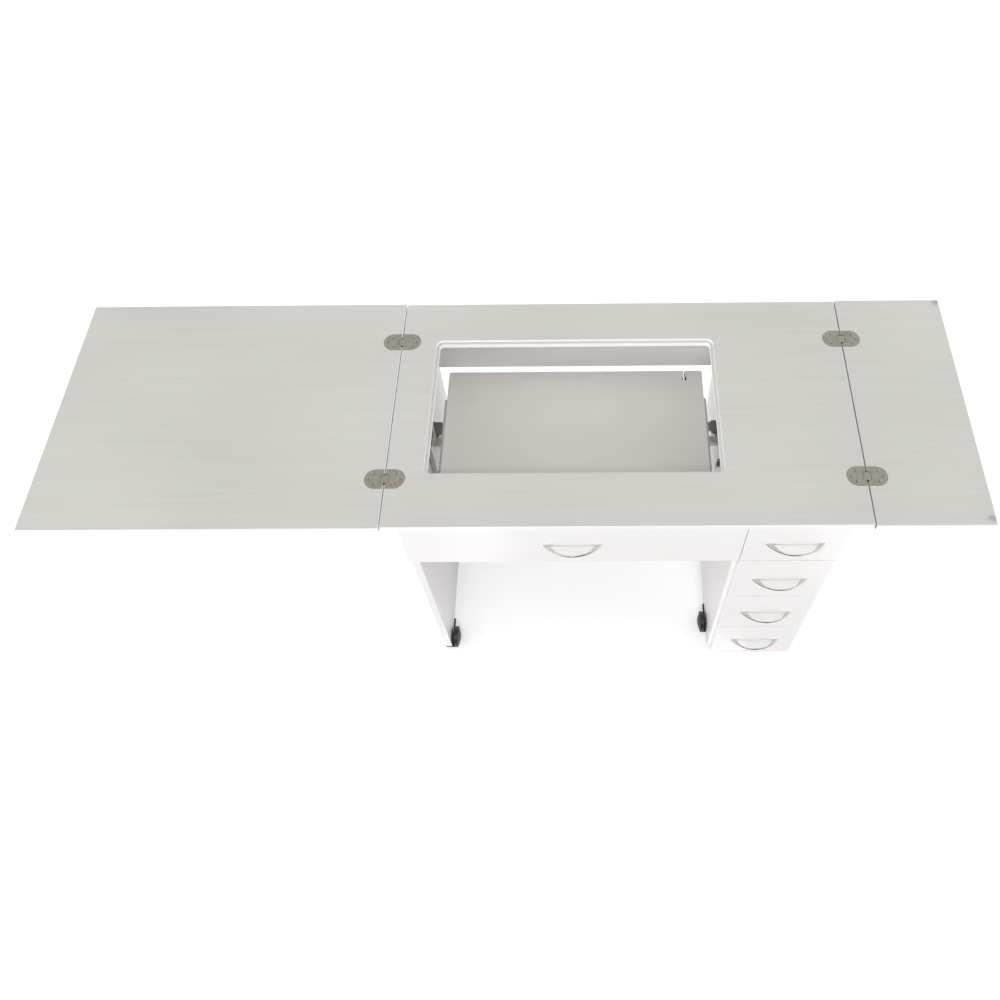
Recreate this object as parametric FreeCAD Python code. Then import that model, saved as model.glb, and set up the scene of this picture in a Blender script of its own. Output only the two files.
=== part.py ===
import FreeCAD, Part
import math
import os

# Folding sewing and cutting table, all sizes in millimetres.
# Work frame of this script: X runs right from the left edge of the centre top, Y runs back
# from its front edge, Z runs up from the floor. At the end every piece is moved so that the
# row's origin is the middle of the object's base.

V = FreeCAD.Vector

# ---- tops -------------------------------------------------------------------------------
HEIGHT = 762.0            # floor to work surface
TOP_W = 945.0             # centre top, left to right
TOP_D = 546.0             # centre top, front to back
TOP_T = 18.0              # thickness of all three tops
LEAF_OVER = 2.0           # leaves past the centre top, front and back
LEFT_LEAF_W = 698.4
RIGHT_LEAF_W = 228.0
SEAM = 2.6                # gap between centre top and a leaf
EASE = 0.5                # eased edges of the tops
TOP_CORNER_R = 2.0        # vertical corners of the tops

# ---- machine opening, centred over the knee space ---------------------------------------
OPEN_SIDE_IN = 31.75      # opening in from the knee space's sides
OPEN_Y0 = 115.0
OPEN_D = 331.0
OPEN_R = 15.0
LEDGE_W = 6.0             # ledge that carries an insert panel
LEDGE_DROP = 6.5

# ---- case -------------------------------------------------------------------------------
BOARD = 16.0              # leg, pedestal, rails and fronts
PANEL_Y0 = 24.0           # front edges of the upright panels
PANEL_BACK_IN = 15.5      # their back edges in from the centre top's back edge
PANEL_Z0 = 8.0            # the panels hang this far above the floor
LEG_X0 = 25.5
PED_SIDE_IN = 35.5        # pedestal in from the centre top's right edge
PED_W = 207.5
RAIL_H = 177.0            # rear rail, down from the centre top
FRONT_GAP = 0.5           # between a front's back face and the panels' front edges
FRONT_RAIL_H = 58.0
FRONT_RAIL_SET = 0.5      # front rail behind the panels' front edges
PED_BOTTOM_UP = 52.0      # bottom panel above the panels' lower ends

# ---- fronts -----------------------------------------------------------------------------
TOP_GAP = 2.0             # top row to the centre top
ROW_GAP = 3.0             # between two rows
ROW_1_H = 160.0
ROW_2_MORE = 4.0          # over a third of the room under the top row
ROW_3_MORE = 5.0
ROW_4_UP = 1.0            # bottom row ends this far above the panels' lower ends
FLAP_TO_JOINT = 0.75      # from the line over the middle of the pedestal's left panel
DRAWER_1_TO_JOINT = 0.5
DRAWER_N_TO_JOINT = -0.5
DRAWER_1_OVER = 4.5       # top drawer's front past the pedestal's right side

# ---- drawer boxes -----------------------------------------------------------------------
SHELL_T = 12.0
SHELL_SIDE_GAP = 3.0      # panel to drawer side
SHELL_BACK_GAP = 50.7     # drawer's back to the back panel
SHELL_SEAT = 0.3          # drawer side to the back of the front
DRAWER_BOTTOM_T = 4.0
DRAWER_BOTTOM_UP = 8.0
BOTTOM_GROOVE = 5.0
CLEAT_H = 12.0
CLEAT_REACH = 8.5         # from the panel's face
CLEAT_FRONT_IN = 36.0     # cleat's ends in from the panels' front edges and the back panel
CLEAT_BACK_IN = 14.5
CLEAT_R = 2.0
CLEAT_RUN = 10.0          # groove in front of the cleat
CLEAT_PLAY = 0.4          # above and below the cleat in its groove
SHELL_UP = 11.0           # drawer box above its front's lower edge
SHELL_OVER_BOTTOM = 10.0  # lowest drawer box above the bottom panel
SHELL_BELOW = {1: 52.0, 2: 31.0, 3: 32.0, 4: 14.0}   # its top below the front's top edge
GROOVE_PLAY = 0.1

# ---- flip-top hinges --------------------------------------------------------------------
HINGE_FRONT_IN = 105.5    # hinge middles in from the centre top's front and back edges
HINGE_BACK_IN = 103.5
HINGE_HALF_L = 40.0       # seam centre to the round end of a plate
HINGE_W = 43.0
PLATE_T = 2.5
PLATE_INSET = 1.0         # plate edge back from the board's edge
PLATE_EASE = 0.4          # eased rim of a plate
POCKET_PLAY = 0.15        # under a plate
RIM_PLAY = 0.35           # round a plate's rim
PIN_DEPTH = 3.3           # pin centre below the work surface
FOLDED_GAP = 3.0          # between the folded leaf and the centre top
PIN_SPACING = 2 * PIN_DEPTH + FOLDED_GAP
PIN_R = 1.75
PIN_PLAY = 0.04
PIN_L = 24.0
LINK_R = 3.1
LINK_EASE = 0.8           # rounded upper edges of a link
LINK_W = 17.5
LINK_PLAY = 0.3
LINK_SWEEP = 4.2          # room round a pin for the link's corners as it turns
BOSS_W = 25.0
BOSS_T = 6.8
BOSS_WALL = 3.0           # behind the notch
SCREW_OFFSETS = ((21.5, 12.0), (31.5, 0.0), (21.5, -12.0))
SCREW_HEAD_R = 3.5
SCREW_HEAD_H = 1.7
SCREW_SINK = 0.7          # head below the plate's face
SCREW_R = 1.9
SCREW_L = 14.0
SCREW_PLAY = 0.05

# ---- bumpers ----------------------------------------------------------------------------
BUMPER_R = 7.0
BUMPER_H = 2.8
BUMPER_SIDE_IN = 8.5      # from the leaf's outer edge
BUMPER_FRONT_IN = 14.0
BUMPER_BACK_IN = 8.5

# ---- bow handles ------------------------------------------------------------------------
HANDLE_L = 119.0          # over the two ends, on the front
HANDLE_OUT = 26.2         # reach of the bow in front of the front
HANDLE_FOOT = 13.0        # width of each end on the front
HANDLE_T = 2.4            # thickness of the bow
HANDLE_H = 5.0            # height of the bow
HANDLE_NECK = 34.0        # from the bow's middle to where its ends flare
HANDLE_NECK_R = 20.0      # inner curve between bow and flare
HANDLE_ROUND = 1.6        # rounded outer edges
HANDLE_EASE = 0.4         # eased inner edges

# ---- flap hinges ------------------------------------------------------------------------
FLAP_PIN_DROP = 2.5       # below the flap's lower edge
FLAP_BARREL_R = 2.4
FLAP_PIN_R = 1.2
FLAP_HINGE_L = 50.0
FLAP_HINGE_LEFT_IN = 89.5     # hinge middles in from the flap's ends
FLAP_HINGE_RIGHT_IN = 88.5
FLAP_LEAF_T = 0.9
FLAP_LEAF_W = 12.0
FLAP_KNUCKLE_GAP = 0.4
FLAP_LEAF_SET = 0.05      # leaves below the boards they are screwed to

# ---- machine lift -----------------------------------------------------------------------
PLAT_SIDE_GAP = 4.75      # platform's rails to the opening's ledge rim
PLAT_FRONT_GAP = 6.5      # platform to the rim, front and back
PLAT_BACK_GAP = 5.0
PLAT_DROP = 105.0         # platform's top below the work surface, as shown
PLAT_R = 4.0
SLOT_IN = 40.0            # cable slot in from the platform's right end
SLOT_W = 5.0
SLOT_L = 22.0
SLOT_EYE_R = 5.0
RAIL_T = 4.0
RAIL_AHEAD = 42.0         # rail's front end ahead of its pivots
RAIL_L = 180.0
RAIL_SHELF = 26.0
RAIL_SKIRT = 14.0         # rail's strip below the platform
RAIL_SEAT = 0.2
RAIL_TOP_SET = 1.0
DROP_TOP_HALF = 40.0      # half widths of the drop plate
DROP_HALF = 18.0
DROP_BELOW = 20.0         # below the lower pivot
ARM_L = 170.0
ARM_T = 5.0
ARM_R = 13.0
PIVOT_IN = 50.0           # fixed pivots in front of the platform's back edge
PIVOT_DROP = 262.0        # upper fixed pivot below the work surface
PIVOT_STEP = 60.0         # upper to lower pivot
PIVOT_R = 5.0
PIVOT_PLAY = 0.05
OPEN_PIVOT_PLAY = 0.5     # at the lower arms' front pivots
SHOULDER_R = 8.0
ARM_OFF = 28.5            # panel's face to the arm
STUD_GAP = 0.3
SIDE_PLATE_T = 3.0
SIDE_PLATE_AHEAD = 81.5   # side plate's front tip and back edge from its pivots
SIDE_PLATE_BEHIND = 27.0
SIDE_PLATE_OVER = 55.0    # its top above the upper pivot
SIDE_PLATE_BELOW = 77.0   # its lowest corner below the lower pivot
SIDE_PLATE_BACK = 20.0    # its back edge ends this far below the upper pivot
GUARD_AHEAD = 20.0        # spring guard's front face ahead of the pivots
GUARD_T = 3.0
GUARD_OUTLINE = ((0.0, 54.0), (19.0, 54.0), (25.0, 42.0), (14.5, 5.0), (0.0, -8.0))
GUARD_PLAY = 0.4          # guard's foot to the side plate's notch
NOTCH_AHEAD = 20.5        # side plate's notch in front of the guard, at its top
NOTCH_FOOT = 14.0         # and at its lower end
NOTCH_STEP = 12.0         # slant of the notch's lower end
STUD_HEAD_T = 2.2
STUD_HEAD_OVER = 2.0      # stud head's radius over the journal's
TUBE_R = 8.0
TUBE_AT = 60.0            # along the arm from its fixed pivot
SPRING_R = 10.6
SPRING_WIRE = 1.1
SPRING_PITCH = 3.0
SPRING_TURNS = 6.0
STRIP_AHEAD = 118.0       # upright strip's front edge ahead of the pivots
STRIP_W = 25.0
STRIP_OVER = 55.0         # above the side plate
STRIP_FOOT_H = 30.0
LATCH_AHEAD = 118.0       # nylon latch block ahead of the pivots, on the pedestal's panel
LATCH_W = 10.0            # along Y
LATCH_T = 13.5            # off the panel
LATCH_OVER = 22.0         # its top above the upper pivot
LATCH_H = 22.0
LATCH_PIN_R = 1.6
LATCH_PIN_OUT = 8.5       # pin off the panel
LATCH_SPRING_R = 3.2
LATCH_SPRING_WIRE = 0.8
LATCH_SPRING_L = 24.0

# ---- leaf supports ----------------------------------------------------------------------
BAR_W = 28.0
BAR_H = 34.0
BAR_DROP = 0.6            # under the tops; the leaf edge dips 0.5 as it starts to turn
BAR_PLAY = 0.5
LEFT_BAR_L = 560.0
LEFT_BAR_OUT = 425.0      # how far the bars are pulled out, as stored
LEFT_BAR_FRONT_IN = 50.0  # bar middles in from the panels' front edges and the rear rail
LEFT_BAR_BACK_IN = 25.5
RIGHT_BAR_GAP = 2.5       # pushed in, to the pedestal's left panel
RIGHT_BAR_OUT = 120.0
GUIDE_L = 20.0
GUIDE_T = 3.0
GUIDE_EAR = 10.5
LEFT_GUIDE_IN = 63.5      # guide from the panel's inner face
RIGHT_GUIDE_IN = 27.5

# ---- casters ----------------------------------------------------------------------------
WHEEL_R = 25.0
WHEEL_W = 10.5
WHEEL_DOME = 5.0
WHEEL_GAP = 0.5           # cheek to wheel
AXLE_R = 4.0
AXLE_PLAY = 0.08
CHEEK_IN = 3.8            # cheek that carries the axle, off the panel's face
CHEEK_T = 3.0
CHEEK_HALF = 12.0
CHEEK_TOP = 33.0
CHEEK_R = 8.0             # its rounded upper corners
FOOT_OUT = 4.0            # foot plate past the panel's face
FOOT_T = 3.2
FOOT_GAP = 0.3            # panel's lower edge to the foot
FOOT_AHEAD = 22.0         # foot plate past the axle, towards the panel's near end
FOOT_REACH = 54.0         # and away from it
FOOT_LIP = 3.0            # bar of the foot that crosses in front of the wheel
FOOT_LIP_END = 15.0       # how far that bar reaches off the panel's face
LEG_CASTER_IN = 21.0      # axle to the panel's front or back edge
PED_CASTER_IN = 58.5

# ---- sizes that follow from the ones above ----------------------------------------------
UNDER = HEIGHT - TOP_T
PANEL_Y1 = TOP_D - PANEL_BACK_IN
BACK_IN = PANEL_Y1 - BOARD
PED_X1 = TOP_W - PED_SIDE_IN
PED_X0 = PED_X1 - PED_W
FRONT_Y1 = PANEL_Y0 - FRONT_GAP
FRONT_Y0 = FRONT_Y1 - BOARD
LEG_IN = LEG_X0 + BOARD
PED_IN0 = PED_X0 + BOARD
PED_IN1 = PED_X1 - BOARD
LEFT_SEAM = -SEAM / 2
RIGHT_SEAM = TOP_W + SEAM / 2
MID_X = (LEG_IN + PED_X0) / 2
OPEN_W = PED_X0 - LEG_IN - 2 * OPEN_SIDE_IN
OPEN_X0 = MID_X - OPEN_W / 2
HINGE_Y = (HINGE_FRONT_IN, TOP_D - HINGE_BACK_IN)
NOTCH_END = PIN_SPACING / 2 + LINK_SWEEP

ROW_1_Z1 = UNDER - TOP_GAP
ROW_1_Z0 = ROW_1_Z1 - ROW_1_H
ROW_4_Z0 = PANEL_Z0 + ROW_4_UP
LOWER_ROW = (ROW_1_Z0 - ROW_4_Z0 - 3 * ROW_GAP) / 3
ROW_2_Z1 = ROW_1_Z0 - ROW_GAP
ROW_2_Z0 = ROW_2_Z1 - LOWER_ROW - ROW_2_MORE
ROW_3_Z1 = ROW_2_Z0 - ROW_GAP
ROW_3_Z0 = ROW_3_Z1 - LOWER_ROW - ROW_3_MORE
ROW_4_Z1 = ROW_3_Z0 - ROW_GAP
JOINT_X = PED_X0 + BOARD / 2
FLAP_X0, FLAP_X1 = LEG_X0, JOINT_X - FLAP_TO_JOINT
DRAWER_1_X0, DRAWER_1_X1 = JOINT_X + DRAWER_1_TO_JOINT, PED_X1 + DRAWER_1_OVER
DRAWER_N_X0, DRAWER_N_X1 = JOINT_X + DRAWER_N_TO_JOINT, PED_X1
PED_BOTTOM_Z0 = PANEL_Z0 + PED_BOTTOM_UP
SHELL_Z0 = {1: ROW_1_Z0 + SHELL_UP, 2: ROW_2_Z0 + SHELL_UP, 3: ROW_3_Z0 + SHELL_UP,
            4: PED_BOTTOM_Z0 + BOARD + SHELL_OVER_BOTTOM}
SHELL_Z1 = {1: ROW_1_Z1, 2: ROW_2_Z1, 3: ROW_3_Z1, 4: ROW_4_Z1}
SHELL_Z = {n: (z, SHELL_Z1[n] - SHELL_BELOW[n]) for n, z in SHELL_Z0.items()}
SHELL_Y0 = FRONT_Y1 + SHELL_SEAT
SHELL_Y1 = BACK_IN - SHELL_BACK_GAP
CLEAT_Y0, CLEAT_Y1 = PANEL_Y0 + CLEAT_FRONT_IN, BACK_IN - CLEAT_BACK_IN
FLAP_PIN_Y = PANEL_Y0
FLAP_HINGE_X = (FLAP_X0 + FLAP_HINGE_LEFT_IN, FLAP_X1 - FLAP_HINGE_RIGHT_IN)

PLAT_X0 = OPEN_X0 + LEDGE_W + PLAT_SIDE_GAP + RAIL_T
PLAT_X1 = OPEN_X0 + OPEN_W - LEDGE_W - PLAT_SIDE_GAP - RAIL_T
PLAT_Y0 = OPEN_Y0 + LEDGE_W + PLAT_FRONT_GAP
PLAT_Y1 = OPEN_Y0 + OPEN_D - LEDGE_W - PLAT_BACK_GAP
PLAT_Z1 = HEIGHT - PLAT_DROP
PIVOT_Y = PLAT_Y1 - PIVOT_IN
PIVOT_Z = HEIGHT - PIVOT_DROP
ARM_X = LEG_IN + ARM_OFF
ARM_ANGLE = math.asin(PLAT_DROP / 2 / ARM_L)
FREE_PIVOT_Y = PIVOT_Y - ARM_L * math.cos(ARM_ANGLE)
FREE_PIVOT_Z = PIVOT_Z - ARM_L * math.sin(ARM_ANGLE)
SIDE_PLATE_Y0, SIDE_PLATE_Y1 = PIVOT_Y - SIDE_PLATE_AHEAD, PIVOT_Y + SIDE_PLATE_BEHIND
SIDE_PLATE_Z0 = PIVOT_Z - PIVOT_STEP - SIDE_PLATE_BELOW
GUARD_Y = PIVOT_Y - GUARD_AHEAD
SIDE_PLATE_Z1 = PIVOT_Z + SIDE_PLATE_OVER
RAIL_Y0 = FREE_PIVOT_Y - RAIL_AHEAD
RAIL_Y1 = RAIL_Y0 + RAIL_L
LATCH_Y = PIVOT_Y - LATCH_AHEAD
LATCH_Z1 = PIVOT_Z + LATCH_OVER
BAR_Z1 = UNDER - BAR_DROP
LEFT_BAR_Y = (PANEL_Y0 + LEFT_BAR_FRONT_IN, BACK_IN - LEFT_BAR_BACK_IN)
RIGHT_BAR_Y = TOP_D / 2
RIGHT_BAR_L = PED_X1 - PED_IN0 - RIGHT_BAR_GAP
X_MIN = LEFT_SEAM - SEAM / 2 - LEFT_LEAF_W
X_MAX = RIGHT_SEAM + SEAM / 2 + RIGHT_LEAF_W
Y_MIN = FRONT_Y0 - HANDLE_OUT
LEAF_Y0, Y_MAX = -LEAF_OVER, TOP_D + LEAF_OVER
MOVE = V(-(X_MIN + X_MAX) / 2, -(Y_MIN + Y_MAX) / 2, 0)
BUMPER_XY = ((X_MAX - BUMPER_SIDE_IN, LEAF_Y0 + BUMPER_FRONT_IN),
             (X_MAX - BUMPER_SIDE_IN, Y_MAX - BUMPER_BACK_IN))


def block(x0, x1, y0, y1, z0, z1):
    return Part.makeBox(x1 - x0, y1 - y0, z1 - z0, V(x0, y0, z0))


def rod(x, y, z, r, length, axis):
    return Part.makeCylinder(r, length, V(x, y, z), axis)


def rod_x(x0, x1, y, z, r):
    return rod(min(x0, x1), y, z, r, abs(x1 - x0), V(1, 0, 0))


def rod_y(x, y0, y1, z, r):
    return rod(x, y0, z, r, y1 - y0, V(0, 1, 0))


def rod_z(x, y, z0, z1, r):
    return rod(x, y, z0, r, z1 - z0, V(0, 0, 1))


def joined(shapes):
    out = shapes[0]
    for s in shapes[1:]:
        out = out.fuse(s)
    return out.removeSplitter()


def less(shape, cutters):
    for c in cutters:
        shape = shape.cut(c)
    return shape


def edges_where(shape, test):
    return [e for e in shape.Edges if test(e.Vertexes[0].Point, e.Vertexes[-1].Point, e)]


def upright(p, q, e):
    return abs(p.x - q.x) < 1e-6 and abs(p.y - q.y) < 1e-6 and abs(p.z - q.z) > 1e-6


def rounded_block(x0, x1, y0, y1, z0, z1, r):
    b = block(x0, x1, y0, y1, z0, z1)
    return b.makeFillet(r, edges_where(b, upright))


def mirror_x(shape, x):
    return shape.mirror(V(x, 0, 0), V(1, 0, 0))


def polygon_y(points, y0, y1):
    """Prism between y0 and y1 over a closed outline of (x, z) points."""
    wire = Part.makePolygon([V(x, y0, z) for x, z in points + [points[0]]])
    return Part.Face(wire).extrude(V(0, y1 - y0, 0))


def polygon_x(points, x0, x1):
    """Prism between x0 and x1 over a closed outline of (y, z) points."""
    wire = Part.makePolygon([V(x0, y, z) for y, z in points + [points[0]]])
    return Part.Face(wire).extrude(V(x1 - x0, 0, 0))


# ---- tops and flip-top hinges -----------------------------------------------------------
def board_top(x0, x1, y0, y1):
    b = rounded_block(x0, x1, y0, y1, UNDER, HEIGHT, TOP_CORNER_R)
    rim = edges_where(b, lambda p, q, e: abs(p.z - HEIGHT) < 1e-6 and abs(q.z - HEIGHT) < 1e-6)
    return b.makeChamfer(EASE, rim)


def plate_outline(side, grow, z0, z1):
    """Half-stadium of a hinge plate about the seam at x = 0; side is +1 right, -1 left."""
    r = HINGE_W / 2
    inner = SEAM / 2 + PLATE_INSET - grow
    mid = HINGE_HALF_L - r
    body = block(inner, mid, -r - grow, r + grow, z0, z1)
    cap = rod_z(mid, 0, z0, z1, r + grow)
    cap = cap.common(block(mid - 1, HINGE_HALF_L + 1, -r - 1, r + 1, z0, z1))
    shape = joined([body, cap])
    return shape if side > 0 else mirror_x(shape, 0)


def link_notch(side, z0, z1):
    """Close to the link at the plate's face, and round where the link's corners sweep."""
    half, pin = LINK_W / 2 + LINK_PLAY, PIN_SPACING / 2
    mouth = block(-1.0, pin + LINK_R + LINK_PLAY, -half, half, z0, z1)
    shape = joined([mouth, rod_y(pin, -half, half, -PIN_DEPTH, LINK_SWEEP).common(
        block(0, 2 * pin + LINK_SWEEP, -half, half, z0, -PIN_DEPTH + LINK_R - LINK_EASE + 0.1))])
    return shape if side > 0 else mirror_x(shape, 0)


def screw_shape(play):
    """Countersunk screw with its head's face at z = 0."""
    r0, r1 = SCREW_HEAD_R + play, SCREW_R + play
    head = Part.makeCone(r1, r0, SCREW_HEAD_H, V(0, 0, -SCREW_HEAD_H))
    shank = rod_z(0, 0, -SCREW_L + 3 - play, -SCREW_HEAD_H + 0.01, r1)
    tip = Part.makeCone(0.3, r1, 3.0, V(0, 0, -SCREW_L - play))
    return joined([head, shank, tip])


def screw(dx, dy):
    body = screw_shape(0.0)
    for a in (0, 90):
        slot = block(-2.1, 2.1, -0.4, 0.4, -1.1, 1.0)
        slot.rotate(V(0, 0, 0), V(0, 0, 1), a)
        body = body.cut(slot)
    body.translate(V(dx, dy, -SCREW_SINK))
    return body


def screw_hole(dx, dy):
    """Seat of a sunk head: its own cone, and a wider one up to the plate's face."""
    slope = (SCREW_HEAD_R - SCREW_R) / SCREW_HEAD_H
    r = SCREW_HEAD_R + SCREW_PLAY
    seat = screw_shape(SCREW_PLAY)
    seat.translate(V(0, 0, -SCREW_SINK))
    over = SCREW_SINK + 1.0
    mouth = Part.makeCone(r, r + slope * over, over, V(0, 0, -SCREW_SINK))
    hole = joined([seat, mouth])
    hole.translate(V(dx, dy, 0))
    return hole


def at_hinge(shape, seam_x, y):
    s = shape.copy()
    s.translate(V(seam_x, y, HEIGHT))
    return s


def hinge_plate(side):
    flat = plate_outline(side, 0.0, -PLATE_T, 0.0)
    rim = edges_where(flat, lambda p, q, e: abs(p.z) < 1e-6 and abs(q.z) < 1e-6)
    flat = flat.makeChamfer(PLATE_EASE, rim)
    boss = block(SEAM / 2 + PLATE_INSET, NOTCH_END + BOSS_WALL, -BOSS_W / 2, BOSS_W / 2,
                 -BOSS_T, -PLATE_EASE)
    if side < 0:
        boss = mirror_x(boss, 0)
    shape = joined([flat, boss]).cut(link_notch(side, -BOSS_T - 1, 1))
    shape = shape.cut(rod_y(side * PIN_SPACING / 2, -20, 20, -PIN_DEPTH, PIN_R + PIN_PLAY))
    return less(shape, [screw_hole(side * dx, dy) for dx, dy in SCREW_OFFSETS])


def hinge_pocket(side):
    """What a board loses to one hinge plate, its link and its screws."""
    flat = plate_outline(side, RIM_PLAY, -PLATE_T - POCKET_PLAY, 1.0)
    half = BOSS_W / 2 + POCKET_PLAY
    deep = block(-1.0, NOTCH_END + BOSS_WALL + POCKET_PLAY, -half, half, -BOSS_T - POCKET_PLAY, 1.0)
    if side < 0:
        deep = mirror_x(deep, 0)
    shape = joined([flat, deep])
    for dx, dy in SCREW_OFFSETS:
        pilot = rod_z(side * dx, dy, -SCREW_L - SCREW_SINK - 0.3, 0, SCREW_R + SCREW_PLAY)
        shape = shape.fuse(pilot)
    return shape


def hinge_link():
    """Flat-topped bar between two pins, round below so that it turns in its notches."""
    h, half = PIN_SPACING / 2, LINK_W / 2
    z0, z1 = -PIN_DEPTH - LINK_R, -PIN_DEPTH + LINK_R
    bar = block(-h, h, -half, half, z0, -PIN_DEPTH)
    cap = block(-h - LINK_R, h + LINK_R, -half, half, -PIN_DEPTH, z1)
    cap = cap.makeFillet(LINK_EASE, edges_where(
        cap, lambda p, q, e: abs(p.z - z1) < 1e-6 and abs(q.z - z1) < 1e-6))
    low = block(-2 * h, 2 * h, -half, half, z0, -PIN_DEPTH)
    ends = [rod_y(x, -half, half, -PIN_DEPTH, LINK_R).common(low) for x in (-h, h)]
    holes = [rod_y(x, -20, 20, -PIN_DEPTH, PIN_R + PIN_PLAY / 2) for x in (-h, h)]
    return less(joined([bar, cap] + ends), holes)


def hinge_set(seam_x, side):
    """Plates and screws on one side of a seam."""
    plates, screws = [], []
    for y in HINGE_Y:
        plates.append(at_hinge(hinge_plate(side), seam_x, y))
        screws += [at_hinge(screw(side * dx, dy), seam_x, y) for dx, dy in SCREW_OFFSETS]
    return plates, screws


def link_set(seam_x):
    links = [at_hinge(hinge_link(), seam_x, y) for y in HINGE_Y]
    pins = []
    for y in HINGE_Y:
        for x in (-PIN_SPACING / 2, PIN_SPACING / 2):
            pins.append(at_hinge(rod_y(x, -PIN_L / 2, PIN_L / 2, -PIN_DEPTH, PIN_R), seam_x, y))
    return links, pins


def pockets(seam_x, side):
    return [at_hinge(hinge_pocket(side), seam_x, y) for y in HINGE_Y]


def centre_top():
    b = board_top(0, TOP_W, 0, TOP_D)
    x1, y1 = OPEN_X0 + OPEN_W, OPEN_Y0 + OPEN_D
    w, zl = LEDGE_W, HEIGHT - LEDGE_DROP
    upper = rounded_block(OPEN_X0, x1, OPEN_Y0, y1, zl, HEIGHT + 1, OPEN_R)
    lower = rounded_block(OPEN_X0 + w, x1 - w, OPEN_Y0 + w, y1 - w, UNDER - 1, zl + 0.5, OPEN_R - w)
    return less(b, [upper, lower] + pockets(LEFT_SEAM, 1) + pockets(RIGHT_SEAM, -1))


def left_leaf():
    return less(board_top(X_MIN, -SEAM, LEAF_Y0, Y_MAX), pockets(LEFT_SEAM, -1))


def right_leaf():
    return less(board_top(TOP_W + SEAM, X_MAX, LEAF_Y0, Y_MAX), pockets(RIGHT_SEAM, 1))


def bumper(x, y):
    pad = Part.makeCone(BUMPER_R, BUMPER_R - 1.2, BUMPER_H, V(x, y, HEIGHT))
    rim = [e for e in pad.Edges if abs(e.CenterOfMass.z - HEIGHT - BUMPER_H) < 1e-6
           and len(e.Vertexes) == 1]
    return pad.makeFillet(0.8, rim)


# ---- case -------------------------------------------------------------------------------
def bar_notch(x0, x1, y):
    half = BAR_W / 2 + BAR_PLAY
    return block(x0 - 1, x1 + 1, y - half, y + half, BAR_Z1 - BAR_H - BAR_PLAY, UNDER + 1)


def upright_panel(x0, notch_y):
    b = block(x0, x0 + BOARD, PANEL_Y0, PANEL_Y1, PANEL_Z0, UNDER)
    return less(b, [bar_notch(x0, x0 + BOARD, y) for y in notch_y])


def front_board(x0, x1, z0, z1):
    b = block(x0, x1, FRONT_Y0, FRONT_Y1, z0, z1)
    rim = edges_where(b, lambda p, q, e: abs(p.y - FRONT_Y0) < 1e-6 and abs(q.y - FRONT_Y0) < 1e-6)
    return b.makeChamfer(EASE, rim)


# ---- drawers ----------------------------------------------------------------------------
def drawer_x():
    return PED_IN0 + SHELL_SIDE_GAP, PED_IN1 - SHELL_SIDE_GAP


def drawer_shell(z0, z1):
    """Two sides and a back folded from one board, open to the front."""
    x0, x1 = drawer_x()
    y0, y1 = SHELL_Y0, SHELL_Y1
    t = SHELL_T
    shape = block(x0, x1, y0, y1, z0, z1)
    shape = shape.cut(block(x0 + t, x1 - t, y0 - 1, y1 - t, z0 - 1, z1 + 1))
    zb = z0 + DRAWER_BOTTOM_UP
    g = BOTTOM_GROOVE + 2 * GROOVE_PLAY
    shape = shape.cut(block(x0 + t - g, x1 - t + g, y0 - 1, y1 - t + g,
                            zb - GROOVE_PLAY, zb + DRAWER_BOTTOM_T + GROOVE_PLAY))
    zc = (z0 + z1) / 2
    reach = CLEAT_REACH - SHELL_SIDE_GAP + CLEAT_PLAY + GROOVE_PLAY
    half = CLEAT_H / 2 + CLEAT_PLAY
    for xa, xb in ((x0 - 1, x0 + reach), (x1 - reach, x1 + 1)):
        shape = shape.cut(block(xa, xb, CLEAT_Y0 - CLEAT_RUN, y1 + 1, zc - half, zc + half))
    return shape


def drawer_bottom(z0):
    x0, x1 = drawer_x()
    t, g = SHELL_T, BOTTOM_GROOVE
    zb = z0 + DRAWER_BOTTOM_UP
    return block(x0 + t - g, x1 - t + g, SHELL_Y0, SHELL_Y1 - t + g, zb, zb + DRAWER_BOTTOM_T)


def cleats():
    out = []
    for z0, z1 in SHELL_Z.values():
        zc = (z0 + z1) / 2
        for x0, x1 in ((PED_IN0, PED_IN0 + CLEAT_REACH), (PED_IN1 - CLEAT_REACH, PED_IN1)):
            c = block(x0, x1, CLEAT_Y0, CLEAT_Y1, zc - CLEAT_H / 2, zc + CLEAT_H / 2)
            out.append(c.makeFillet(CLEAT_R, edges_where(c, upright)))
    return out


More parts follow.
